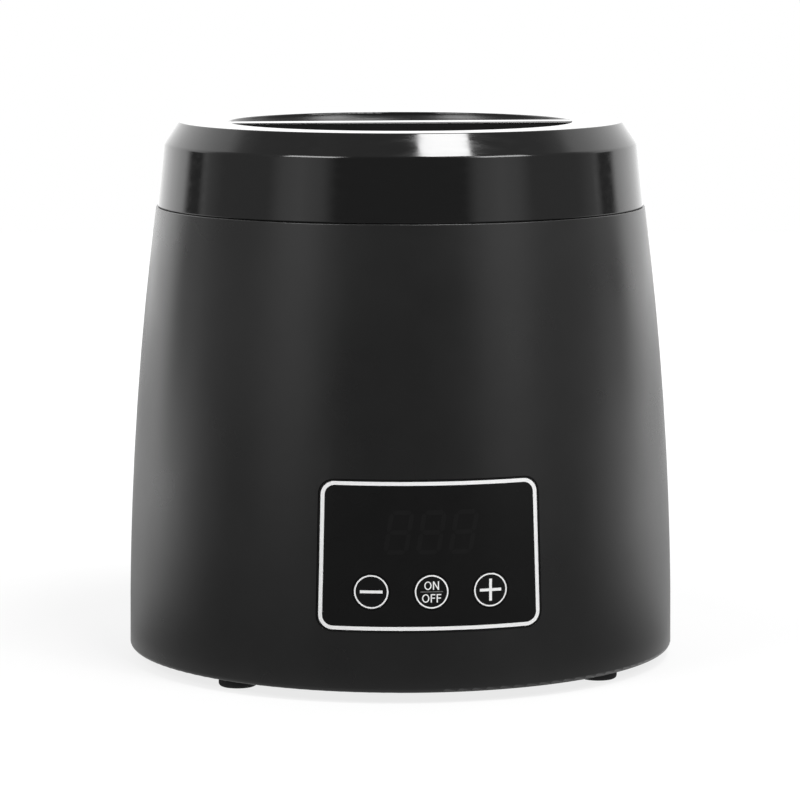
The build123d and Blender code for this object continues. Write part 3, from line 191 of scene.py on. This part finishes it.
# ---------------------------------------------------------------- finishes
def moulded_matte(name, colour, roughness, grain=0.35 * MM):
    """Spark-eroded black moulding: fine grain, slightly uneven sheen, a trace of dust."""
    finish = Finish(name, colour, roughness, Sheen_Weight=0.12, Sheen_Roughness=0.35)
    patches = finish.noise(size=30 * MM, detail=4)
    dust = finish.noise(size=9 * MM, detail=5)
    finish.rough(patches, low=roughness - 0.03, high=roughness + 0.04)
    finish.tint(dust, colour, scaled(colour, 1.25), start=0.35, end=0.75)
    finish.bump(finish.noise(size=grain, detail=3), depth=0.012 * MM)
    return finish.material


RECESS_RADIUS = 50.0 * MM
SATIN_START = 0.7 * MM  # below the lid's top
SATIN_FULL = 1.3 * MM
SATIN_EDGE = 0.3 * MM  # how far the satin fades out past the recess


def wipe_marks(finish):
    """Noise drawn out along X, like the marks of a cloth."""
    return finish.noise(size=2.2 * MM, detail=3, stretch=(0.16, 1, 1.4))


def lid_moulding(name, colour, gloss, satin):
    """Polished outside, with a satin recess and grip sides that don't show fingerprints."""
    finish = Finish(name, colour, gloss)
    polished = finish.remap(wipe_marks(finish), gloss * 0.7, gloss * 1.5, start=0.3, end=0.7)
    grain = finish.noise(size=0.4 * MM, detail=3)
    dulled = finish.remap(grain, satin - 0.03, satin + 0.03, start=0.3, end=0.7)
    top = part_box("lid")[1].z
    height = finish.split(finish.place)["Z"]
    below = finish.remap(height, 1, 0, start=top - SATIN_FULL, end=top - SATIN_START)
    within = finish.remap(finish.radius(), 1, 0, start=RECESS_RADIUS, end=RECESS_RADIUS + SATIN_EDGE)
    recess = finish.maths("MULTIPLY", below, within)
    finish.set("Roughness", finish.mix("FLOAT", recess, polished, dulled))
    finish.bump(finish.noise(size=9 * MM, detail=1), depth=0.01 * MM)
    return finish.material


def smoked_face(name, colour, roughness):
    """Polished tinted plastic over the display: slow waviness and hairline wipe marks."""
    finish = Finish(name, colour, roughness)
    finish.rough(wipe_marks(finish), low=roughness * 0.6, high=roughness * 1.4)
    finish.bump(finish.noise(size=9 * MM, detail=1), depth=0.01 * MM)
    return finish.material


def overlay_film(name, colour):
    """Polyester overlay printed black on its back: fine satin texture and a weak, soft gloss."""
    finish = Finish(name, colour, roughness=0.26, Specular_IOR_Level=0.16)
    finish.rough(finish.noise(size=18 * MM, detail=3), low=0.24, high=0.29)
    cloud = finish.noise(size=6 * MM, detail=4)
    finish.tint(cloud, colour, scaled(colour, 1.12), start=0.35, end=0.7)
    finish.bump(finish.noise(size=0.22 * MM, detail=2), depth=0.003 * MM)
    return finish.material


def print_ink(name, colour):
    """Screen-printed ink: slightly uneven cover."""
    finish = Finish(name, colour, roughness=0.42)
    finish.tint(finish.noise(size=0.5 * MM, detail=3), colour, scaled(colour, 0.93))
    return finish.material


def rubber(name):
    finish = Finish(name, (0.012, 0.012, 0.013), roughness=0.78)
    finish.rough(finish.noise(size=3 * MM, detail=4), low=0.7, high=0.88)
    finish.bump(finish.noise(size=0.5 * MM, detail=3), depth=0.02 * MM)
    return finish.material


def turned_metal(name, colour, roughness):
    """Spun or turned metal: fine rings about Z and down the wall, with faint handling marks."""
    finish = Finish(name, colour, roughness, Metallic=1.0)
    profile = finish.add("ShaderNodeCombineXYZ")
    finish.feed(finish.radius(), profile.inputs["X"])
    finish.feed(finish.split(finish.place)["Z"], profile.inputs["Y"])
    rings = finish.noise(size=0.5 * MM, detail=3, place=profile.outputs["Vector"])
    handling = finish.noise(size=14 * MM, detail=5)
    finish.rough(rings, low=roughness * 0.8, high=roughness * 1.25)
    finish.tint(handling, colour, scaled(colour, 0.86), start=0.4, end=0.8)
    finish.bump(rings, depth=0.004 * MM)
    return finish.material


def plated_metal(name, colour, roughness=0.28):
    """Drawn or plated metal: brighter and duller patches and a little relief."""
    finish = Finish(name, colour, roughness, Metallic=1.0)
    patches = finish.noise(size=2.5 * MM, detail=4)
    finish.rough(patches, low=roughness * 0.75, high=roughness * 1.3)
    finish.tint(finish.noise(size=5 * MM, detail=4), colour, scaled(colour, 0.8))
    finish.bump(finish.noise(size=0.4 * MM, detail=2), depth=0.004 * MM)
    return finish.material


def cast_metal(name, colour):
    """Grainy casting skin."""
    finish = Finish(name, colour, roughness=0.5, Metallic=1.0)
    finish.rough(finish.noise(size=4 * MM, detail=4), low=0.42, high=0.62)
    finish.bump(finish.noise(size=1.1 * MM, detail=4), depth=0.05 * MM)
    return finish.material


def heat_tinted(name):
    """Sheathed element: straw to brown oxide along a dark steel tube."""
    straw = (0.24, 0.2, 0.15)
    brown = (0.1, 0.07, 0.06)
    finish = Finish(name, straw, roughness=0.45, Metallic=1.0)
    finish.tint(finish.noise(size=11 * MM, detail=4), straw, brown)
    finish.bump(finish.noise(size=0.6 * MM, detail=3), depth=0.015 * MM)
    return finish.material


def felt(name):
    """Needled glass-fibre felt: tangled fibres and soft lumps."""
    pale = (0.84, 0.82, 0.75)
    shaded = (0.62, 0.6, 0.52)
    finish = Finish(name, pale, roughness=0.95)
    fibres = finish.noise(size=0.9 * MM, detail=6, stretch=(1, 1, 0.35))
    finish.tint(fibres, pale, shaded)
    finish.bump(finish.noise(size=4 * MM, detail=3), depth=0.5 * MM)
    finish.bump(fibres, depth=0.25 * MM)
    return finish.material


def moulded_part(name, colour, roughness=0.45):
    """Small coloured moulding: faint mottling and a fine skin."""
    finish = Finish(name, colour, roughness)
    patches = finish.noise(size=2 * MM, detail=3)
    finish.rough(patches, low=roughness * 0.85, high=roughness * 1.2)
    finish.tint(finish.noise(size=3 * MM, detail=4), colour, scaled(colour, 0.82))
    finish.bump(finish.noise(size=0.3 * MM, detail=2), depth=0.008 * MM)
    return finish.material


def circuit_board(name):
    """Solder mask over copper: lighter tracks show faintly through the green."""
    mask = (0.012, 0.11, 0.035)
    track = (0.03, 0.2, 0.07)
    finish = Finish(name, mask, roughness=0.3)
    tracks = finish.add("ShaderNodeTexBrick", offset=0.5)
    finish.feed(1 / (7 * MM), tracks.inputs["Scale"])
    finish.feed(0.06, tracks.inputs["Mortar Size"])
    finish.feed(finish.place, tracks.inputs["Vector"])
    finish.tint(tracks.outputs["Fac"], mask, track, start=0, end=1)
    finish.bump(tracks.outputs["Fac"], depth=0.03 * MM)
    return finish.material


def clear_glass(name):
    finish = Finish(name, (0.85, 0.88, 0.86), roughness=0.08, Alpha=0.55)
    finish.rough(finish.noise(size=2 * MM, detail=2), low=0.05, high=0.12)
    return finish.material


FINISHES = {
    "casing": moulded_matte("casing_matte", grey(0.0055), roughness=0.29),
    "lid_gloss": lid_moulding("lid_gloss", grey(0.004), gloss=0.1, satin=0.3),
    "panel_gloss": overlay_film("panel_overlay", grey(0.0062)),
    "key_gloss": overlay_film("key_overlay", grey(0.0062)),
    "base_black": moulded_matte("base_matte", grey(0.011), roughness=0.5),
    "rubber_black": rubber("foot_rubber"),
    "collar_black": moulded_matte("collar_matte", (0.016, 0.015, 0.014), roughness=0.55, grain=0.6 * MM),
    "aluminium": turned_metal("spun_aluminium", (0.78, 0.78, 0.79), roughness=0.3),
    "cast_aluminium": cast_metal("cast_aluminium", (0.55, 0.55, 0.56)),
    "steel": plated_metal("plated_steel", (0.6, 0.6, 0.62)),
    "stainless": plated_metal("stainless_wire", (0.66, 0.65, 0.63), roughness=0.2),
    "element_steel": heat_tinted("element_sheath"),
    "shield_steel": turned_metal("aluminised_sheet", (0.66, 0.66, 0.66), roughness=0.35),
    "glass_fibre": felt("glass_fibre_felt"),
    "ceramic_white": moulded_part("steatite", (0.8, 0.77, 0.7), roughness=0.5),
    "board_green": circuit_board("circuit_board"),
    "terminal_green": moulded_part("terminal_green", (0.02, 0.28, 0.07)),
    "core_steel": cast_metal("core_plates", (0.16, 0.16, 0.18)),
    "coil_tape": moulded_part("coil_tape", (0.7, 0.5, 0.05), roughness=0.35),
    "relay_blue": moulded_part("relay_blue", (0.02, 0.07, 0.35), roughness=0.3),
    "capacitor_yellow": moulded_part("capacitor_yellow", (0.7, 0.45, 0.04), roughness=0.3),
    "capacitor_black": moulded_part("capacitor_sleeve", (0.02, 0.02, 0.03), roughness=0.3),
    "fuse_glass": clear_glass("fuse_glass"),
    "chip_black": moulded_part("chip_package", (0.02, 0.02, 0.02), roughness=0.5),
    "display_grey": smoked_face("display_face", grey(0.02), roughness=0.2),
    "switch_black": moulded_part("switch_black", (0.02, 0.02, 0.02)),
    "header_white": moulded_part("header_ivory", (0.75, 0.73, 0.65)),
    "ribbon_grey": moulded_part("ribbon_grey", (0.3, 0.3, 0.32), roughness=0.5),
    "inlet_black": moulded_part("inlet_black", (0.012, 0.012, 0.012), roughness=0.4),
    "pin_brass": plated_metal("nickel_pin", (0.72, 0.68, 0.6), roughness=0.18),
    "lead_brown": moulded_part("lead_brown", (0.12, 0.04, 0.015), roughness=0.5),
    "lead_blue": moulded_part("lead_blue", (0.02, 0.08, 0.4), roughness=0.5),
    "lead_white": moulded_part("lead_sleeve", (0.75, 0.73, 0.68), roughness=0.8),
}
for part in frame["record"]["subparts"]:
    mesh = CAD_NODES[part["node"]].data
    mesh.materials.clear()
    mesh.materials.append(FINISHES[part["material_slot"]])

white_ink = print_ink("white_ink", grey(0.9))
grey_ink = print_ink("grey_ink", grey(0.16))
unlit_ink = overlay_film("unlit_segment", grey(0.0082))


# ---------------------------------------------------------------- laying prints on the CAD
PRINT_RISE = 0.03 * MM  # ink above the surface that it is on
PRINT_STEP = 0.5 * MM  # largest cell in a print, so that it follows the curve
PRINT_WELD = 0.001 * MM  # points this close are one
AIM_SHIFT = 0.004 * MM  # how far a ray starts to each side of its point


class Surface:
    """The front of a CAD node, for laying flat artwork on along Y."""

    def __init__(self, node):
        mesh = CAD_NODES[node].data
        faces = [face.vertices[:] for face in mesh.polygons]
        self.tree = BVHTree.FromPolygons([vertex.co for vertex in mesh.vertices], faces)

    def front(self, x, z):
        """Y of the surface there, tried a hair to each side in case a ray slips between faces."""
        found = []
        for shift in (-AIM_SHIFT, AIM_SHIFT):
            start = Vector((x + shift, -1, z + shift / 2))
            hit = self.tree.ray_cast(start, Vector((0, 1, 0)))[0]
            if hit:
                found.append(hit.y)
        return min(found)


def filled(name, loops):
    """A flat mesh that fills closed loops of (x, z). Loops inside others are holes."""
    curve = bpy.data.curves.new(name + "_outline", "CURVE")
    curve.dimensions = "2D"
    curve.fill_mode = "FRONT"
    for loop in loops:
        spline = curve.splines.new("POLY")
        spline.points.add(len(loop) - 1)
        for point, (x, z) in zip(spline.points, loop):
            point.co = (x, z, 0, 1)
        spline.use_cyclic_u = True
    flat = bpy.data.objects.new(name + "_flat", curve)
    bpy.context.scene.collection.objects.link(flat)
    depsgraph = bpy.context.evaluated_depsgraph_get()
    mesh = bpy.data.meshes.new_from_object(flat.evaluated_get(depsgraph))
    bpy.data.objects.remove(flat)
    return mesh


def cut_small(shape):
    """Cuts a flat shape into cells no larger than the print's step."""
    bmesh.ops.remove_doubles(shape, verts=shape.verts, dist=PRINT_WELD)
    low = [min(vertex.co[axis] for vertex in shape.verts) for axis in (0, 1)]
    high = [max(vertex.co[axis] for vertex in shape.verts) for axis in (0, 1)]
    for axis in (0, 1):
        cuts = int((high[axis] - low[axis]) / PRINT_STEP)
        for cut in range(1, cuts + 1):
            at = [0, 0, 0]
            at[axis] = low[axis] + cut * (high[axis] - low[axis]) / (cuts + 1)
            across = [0, 0, 0]
            across[axis] = 1
            parts = shape.verts[:] + shape.edges[:] + shape.faces[:]
            bmesh.ops.bisect_plane(shape, geom=parts, plane_co=at, plane_no=across)
    bmesh.ops.remove_doubles(shape, verts=shape.verts, dist=PRINT_WELD)
    bmesh.ops.dissolve_degenerate(shape, edges=shape.edges, dist=PRINT_WELD)


def lay(name, loops, surface, material, body):
    """A print: closed loops of (x, z) filled as one flat piece, cut small and laid on a surface."""
    mesh = filled(name, loops)
    shape = bmesh.new()
    shape.from_mesh(mesh)
    cut_small(shape)
    for vertex in shape.verts:
        x, z = vertex.co.xy
        vertex.co = (x, surface.front(x, z) - PRINT_RISE, z)
    bmesh.ops.recalc_face_normals(shape, faces=shape.faces)
    for face in shape.faces:
        if face.normal.y > 0:
            face.normal_flip()
        face.smooth = True
    shape.to_mesh(mesh)
    shape.free()
    mesh.name = name
    mesh.materials.clear()
    mesh.materials.append(material)
    piece = bpy.data.objects.new(name, mesh)
    bpy.context.scene.collection.objects.link(piece)
    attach(piece, body)


# ---------------------------------------------------------------- outlines
CIRCLE_STEPS = 72
LETTER_STEPS = 48
CORNER_STEPS = 10


def ellipse(x, z, across, tall, steps):
    turns = [2 * pi * step / steps for step in range(steps)]
    return [(x + across * cos(turn), z + tall * sin(turn)) for turn in turns]


def bar(x, z, width, height):
    return [
        (x - width / 2, z - height / 2),
        (x + width / 2, z - height / 2),
        (x + width / 2, z + height / 2),
        (x - width / 2, z + height / 2),
    ]


def rounded(corners, radius):
    """A closed outline through corners, each rounded by an arc."""
    outline = []
    for index, corner in enumerate(corners):
        here = Vector(corner)
        back = (Vector(corners[index - 1]) - here).normalized()
        ahead = (Vector(corners[(index + 1) % len(corners)]) - here).normalized()
        half = back.angle(ahead) / 2
        middle = here + (back + ahead).normalized() * radius / sin(half)
        start = here + back * radius / tan(half) - middle
        end = here + ahead * radius / tan(half) - middle
        first = atan2(start.y, start.x)
        sweep = (atan2(end.y, end.x) - first + pi) % (2 * pi) - pi
        for step in range(CORNER_STEPS + 1):
            turn = first + sweep * step / CORNER_STEPS
            outline.append((middle.x + radius * cos(turn), middle.y + radius * sin(turn)))
    return outline


def middle_of(node):
    """The middle of a CAD node's box."""
    low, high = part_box(node)
    return [(a + b) / 2 for a, b in zip(low, high)]


# ---------------------------------------------------------------- the panel's white outline
BORDER_MARGIN = 0.42 * MM
BORDER_WIDTH = 1.03 * MM
BORDER_CORNER = 3.9 * MM
PANEL_TAPER = 1.05 * MM  # how much narrower the panel is at its top, each side

panel = Surface("control_panel")
panel_low, panel_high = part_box("control_panel")


def border_loop(inset, corner):
    """The panel's outline moved in by inset."""
    half = panel_high.x - inset
    low, high = panel_low.z + inset, panel_high.z - inset
    top = half - PANEL_TAPER
    return rounded([(-half, low), (half, low), (top, high), (-top, high)], corner)


border = [
    border_loop(BORDER_MARGIN, BORDER_CORNER),
    border_loop(BORDER_MARGIN + BORDER_WIDTH, BORDER_CORNER - BORDER_WIDTH),
]
lay("panel_border", border, panel, white_ink, "housing")

# ---------------------------------------------------------------- the unlit display
# It shows as three faint seven-segment digits.
DIGIT_HEIGHT = 11.0 * MM  # between the middles of the top and bottom segments
DIGIT_WIDTH = 5.6 * MM
DIGIT_PITCH = 9.0 * MM
DIGIT_STROKE = 1.3 * MM
DIGIT_SLANT = 0.17
DIGIT_RISE = 0.6 * MM  # above the middle of the display
DIGIT_Z = middle_of("led_display")[2] + DIGIT_RISE
SEGMENT_GAP = 0.16 * MM


def segment(x, z, length, upright):
    """One pointed segment centred at (x, z) of an upright digit, then slanted."""
    half, thick = length / 2 - SEGMENT_GAP, DIGIT_STROKE / 2
    shape = [
        (-half, 0),
        (-half + thick, -thick),
        (half - thick, -thick),
        (half, 0),
        (half - thick, thick),
        (-half + thick, thick),
    ]
    if upright:
        shape = [(b, a) for a, b in reversed(shape)]
    return [(x + a + DIGIT_SLANT * (z + b - DIGIT_Z), z + b) for a, b in shape]


segments = []
for digit in (-1, 0, 1):
    centre = digit * DIGIT_PITCH
    for level in (-1, 0, 1):
        middle = DIGIT_Z + level * DIGIT_HEIGHT / 2
        segments.append(segment(centre, middle, DIGIT_WIDTH, upright=False))
    for side in (-1, 1):
        across = centre + side * DIGIT_WIDTH / 2
        for level in (-1, 1):
            middle = DIGIT_Z + level * DIGIT_HEIGHT / 4
            segments.append(segment(across, middle, DIGIT_HEIGHT / 2, upright=True))
lay("unlit_digits", segments, panel, unlit_ink, "housing")

# ---------------------------------------------------------------- rings and signs on the keys
RING_RADIUS = 4.67 * MM  # outer
RING_WIDTH = 0.4 * MM
MARK_LENGTH = 6.15 * MM
MARK_WIDTH = 0.8 * MM
KEY_XS = {name: middle_of("key_" + name)[0] for name in ("minus", "on_off", "plus")}
KEY_Z = middle_of("key_on_off")[2]


def ring(x, z):
    radii = (RING_RADIUS, RING_RADIUS - RING_WIDTH)
    return [ellipse(x, z, radius, radius, CIRCLE_STEPS) for radius in radii]


for name, key_x in KEY_XS.items():
    key = "key_" + name
    face = Surface(key)
    lay("ring_" + name, ring(key_x, KEY_Z), face, white_ink, key)
    if name != "on_off":
        level_bar = [bar(key_x, KEY_Z, MARK_LENGTH, MARK_WIDTH)]
        lay("mark_" + name, level_bar, face, white_ink, key)
    if name == "plus":
        upright_bar = [bar(key_x, KEY_Z, MARK_WIDTH, MARK_LENGTH)]
        lay("mark_plus_upright", upright_bar, face, white_ink, key)

# ---------------------------------------------------------------- ON and OFF on the middle key
# ON above and OFF below a thin divider, in a plain narrow sans serif drawn as outlines.
LETTER_HEIGHT = 2.35 * MM
LETTER_WIDTHS = {"O": 2.02 * MM, "N": 1.72 * MM, "F": 1.3 * MM}
LETTER_STROKE = 0.33 * MM
LETTER_THIN = 0.9 * LETTER_STROKE  # O's top and bottom, F's middle bar
LETTER_GAP = 0.36 * MM
N_SLANT = 0.72  # share of the height that N's diagonal takes at a stem
F_BAR_HEIGHT = 0.46  # F's middle bar, as shares of its height and width
F_BAR_LENGTH = 0.92
ON_BASE = 0.55 * MM
OFF_BASE = -2.98 * MM
DIVIDER_LENGTH = 6.3 * MM
DIVIDER_WIDTH = 0.22 * MM


def letter_loops(letter, x, z):
    """Outlines of one capital whose lower left corner is (x, z)."""
    width, height, stroke = LETTER_WIDTHS[letter], LETTER_HEIGHT, LETTER_STROKE
    if letter == "O":
        half_width, half_height = width / 2, height / 2
        loops = [
            ellipse(half_width, half_height, half_width - side, half_height - end, LETTER_STEPS)
            for side, end in ((0, 0), (stroke, LETTER_THIN))
        ]
    elif letter == "N":
        loops = [[
            (0, 0), (stroke, 0), (stroke, height * N_SLANT), (width - stroke, 0), (width, 0),
            (width, height), (width - stroke, height), (width - stroke, height * (1 - N_SLANT)),
            (stroke, height), (0, height),
        ]]
    else:
        low = height * F_BAR_HEIGHT
        high = low + LETTER_THIN
        reach = width * F_BAR_LENGTH
        loops = [[
            (0, 0), (stroke, 0), (stroke, low), (reach, low), (reach, high), (stroke, high),
            (stroke, height - stroke), (width, height - stroke), (width, height), (0, height),
        ]]
    return [[(x + a, z + b) for a, b in loop] for loop in loops]


def word_loops(word, x, z):
    """Outlines of a word centred on x, standing on z."""
    length = sum(LETTER_WIDTHS[letter] for letter in word) + LETTER_GAP * (len(word) - 1)
    left = x - length / 2
    loops = []
    for letter in word:
        loops += letter_loops(letter, left, z)
        left += LETTER_WIDTHS[letter] + LETTER_GAP
    return loops


key_face = Surface("key_on_off")
for word, base in (("ON", ON_BASE), ("OFF", OFF_BASE)):
    loops = word_loops(word, KEY_XS["on_off"], KEY_Z + base)
    lay("legend_" + word.lower(), loops, key_face, white_ink, "key_on_off")
divider = [bar(KEY_XS["on_off"], KEY_Z, DIVIDER_LENGTH, DIVIDER_WIDTH)]
lay("legend_divider", divider, key_face, grey_ink, "key_on_off")


# ---------------------------------------------------------------- camera
CAMERA_AZIMUTH = -6.2  # degrees round from straight in front
CAMERA_DISTANCE = 1.1377
CAMERA_HEIGHT = 0.2197
CAMERA_PITCH = 7.26  # degrees down
CAMERA_HEADING_TRIM = 0.007  # degrees
CAMERA_LENS = 175.1  # mm
CAMERA_SENSOR = 36  # mm


def add_camera():
    turn = radians(CAMERA_AZIMUTH)
    lens = bpy.data.cameras.new("camera")
    lens.lens = CAMERA_LENS
    lens.sensor_width = CAMERA_SENSOR
    camera = bpy.data.objects.new("camera", lens)
    camera.location = (CAMERA_DISTANCE * sin(turn), -CAMERA_DISTANCE * cos(turn), CAMERA_HEIGHT)
    heading = radians(CAMERA_AZIMUTH + CAMERA_HEADING_TRIM)
    camera.rotation_euler = (radians(90 - CAMERA_PITCH), 0, heading)
    bpy.context.scene.collection.objects.link(camera)
    bpy.context.scene.camera = camera


add_camera()
bpy.context.scene.view_settings.view_transform = "Standard"


# ---------------------------------------------------------------- studio
# The studio turns with the camera. A side of 0 is straight in front of the object, 1 behind it.
FLOOR_RADIUS = 1.5
FLOOR_SEGMENTS = 96
FLOOR_LEVEL = -0.05 * MM  # a hair under the feet
FLOOR_COLOUR = 0.15
# Each of these is low, high, start, end: a level that goes from low to high between two distances
# from the object's middle, or between two sides.
FLOOR_SEEN = (0.8, 1.0, 0.12, 0.5)  # what the camera sees, dimmer in the object's soft shadow
FLOOR_RISE = (0.03, 1.5, 0.42, 0.60)  # in reflections: dim in front and brightest beside the object
FLOOR_FALL = (1.5, 0.5, 0.64, 0.80)  # and lower behind it
FLOOR_SHADE = (0.2, 1.0, 0.12, 0.5)  # dimmer close to the object
FLOOR_FOOT = (0.4, 0.0, 0.09, 0.11)  # but not right round its foot

# How bright the studio is in reflections, as a level at each side.
SWEEP = (
    (0.0, 0.2), (0.17, 0.2), (0.205, 0.75), (0.27, 1.0), (0.32, 0.85), (0.36, 0.45),
    (0.52, 0.38), (0.58, 0.55), (0.62, 1.3), (0.74, 1.6), (0.85, 1.6), (1.0, 1.6),
)
# A dark card low on each side, which draws a thin dark line near the edges of glossy parts.
CARD = ((0.0, 0.0), (0.59, 0.0), (0.615, 1.0), (0.665, 1.0), (0.695, 0.0), (1.0, 0.0))
CARD_TOP = (0.09, 0.17)  # the card's soft upper edge, as the sine of its elevation
CARD_LEVEL = 0.16
OVERHEAD_EDGE = (0.62, 0.9)  # where the dimmer ceiling fades in, likewise
OVERHEAD_LEVEL = 0.35

LAMP_AIM = Vector((0, 0, 0.08))  # the object's middle, which every lamp faces
# Each lamp's azimuth from the camera's and its elevation, in degrees, then its distance, width,
# height and radiance, which is its brightness wherever it is seen.
SOFTBOXES = {
    "key": (31.5, 61, 1.2, 0.36, 0.34, 23),
    "upper_left": (-46, 36, 1.3, 0.54, 0.40, 9),
    "upper_right": (54, 36, 1.3, 0.54, 0.40, 9),
}


def side_of_studio(nodes, direction):
    """0 for a direction toward the front of the studio, 1 toward its back."""
    turn = nodes.add("ShaderNodeVectorRotate", rotation_type="Z_AXIS")
    nodes.feed(radians(-CAMERA_AZIMUTH), turn.inputs["Angle"])
    nodes.feed(direction, turn.inputs["Vector"])
    x, y, _ = nodes.split(turn.outputs["Vector"])
    across = nodes.maths("ABSOLUTE", x)
    forward = nodes.maths("MULTIPLY", y, -1)
    return nodes.maths("DIVIDE", nodes.maths("ARCTAN2", across, forward), pi)


def floor_finish():
    """Nearly white to the camera, with a level of its own in reflections."""
    finish = Finish("floor", grey(FLOOR_COLOUR), roughness=0.9, Specular_IOR_Level=0.0)
    distance = finish.length(finish.place)
    side = side_of_studio(finish, finish.place)
    rise = finish.remap(side, *FLOOR_RISE)
    fall = finish.remap(side, *FLOOR_FALL)
    shade = finish.remap(distance, *FLOOR_SHADE)
    open_floor = finish.maths("MULTIPLY", finish.maths("MINIMUM", rise, fall), shade)
    reflected = finish.maths("MAXIMUM", open_floor, finish.remap(distance, *FLOOR_FOOT))
    seen = finish.remap(distance, *FLOOR_SEEN)
    rays = finish.add("ShaderNodeLightPath").outputs
    finish.set("Emission Strength", finish.mix("FLOAT", rays["Is Camera Ray"], reflected, seen))
    finish.set("Emission Color", WHITE)
    return finish.material


def add_floor():
    shape = bmesh.new()
    bmesh.ops.create_circle(shape, cap_ends=True, segments=FLOOR_SEGMENTS, radius=FLOOR_RADIUS)
    bmesh.ops.translate(shape, verts=shape.verts, vec=(0, 0, FLOOR_LEVEL))
    mesh = bpy.data.meshes.new("floor")
    shape.to_mesh(mesh)
    shape.free()
    mesh.materials.append(floor_finish())
    floor = bpy.data.objects.new("floor", mesh)
    bpy.context.scene.collection.objects.link(floor)


def add_softbox(name, azimuth, elevation, distance, width, height, radiance):
    """A rectangular lamp that faces the object and that the camera doesn't see."""
    lamp = bpy.data.lights.new(name, "AREA")
    lamp.shape = "RECTANGLE"
    lamp.size = width
    lamp.size_y = height
    lamp.energy = radiance * pi * width * height
    turn = radians(CAMERA_AZIMUTH + azimuth)
    lift = radians(elevation)
    away = Vector((cos(lift) * sin(turn), -cos(lift) * cos(turn), sin(lift)))
    holder = bpy.data.objects.new(name, lamp)
    holder.location = LAMP_AIM + distance * away
    holder.rotation_euler = (-away).to_track_quat("-Z", "Y").to_euler()
    holder.visible_camera = False
    bpy.context.scene.collection.objects.link(holder)


def add_world():
    """White to the camera and through glass, a shaped pale studio to everything else."""
    world = bpy.data.worlds.new("studio")
    world.use_nodes = True
    sky = ShaderTree(world.node_tree, "Generated")
    side = side_of_studio(sky, sky.place)
    height = sky.split(sky.place)["Z"]
    card_top = sky.remap(height, 1.0, 0.0, *CARD_TOP, smooth=True)
    card = sky.maths("MULTIPLY", sky.ramp(side, CARD), card_top)
    walls = sky.mix("RGBA", card, sky.ramp(side, SWEEP), opaque(grey(CARD_LEVEL)))
    overhead = sky.remap(height, 0.0, 1.0, *OVERHEAD_EDGE, smooth=True)
    studio = sky.mix("RGBA", overhead, walls, opaque(grey(OVERHEAD_LEVEL)))
    rays = sky.add("ShaderNodeLightPath").outputs
    plain = sky.maths("MAXIMUM", rays["Is Camera Ray"], rays["Is Transmission Ray"])
    seen = sky.mix("RGBA", plain, studio, WHITE)
    sky.feed(seen, sky.tree.nodes["Background"].inputs["Color"])
    bpy.context.scene.world = world


add_floor()
for name, settings in SOFTBOXES.items():
    add_softbox(name, *settings)
add_world()
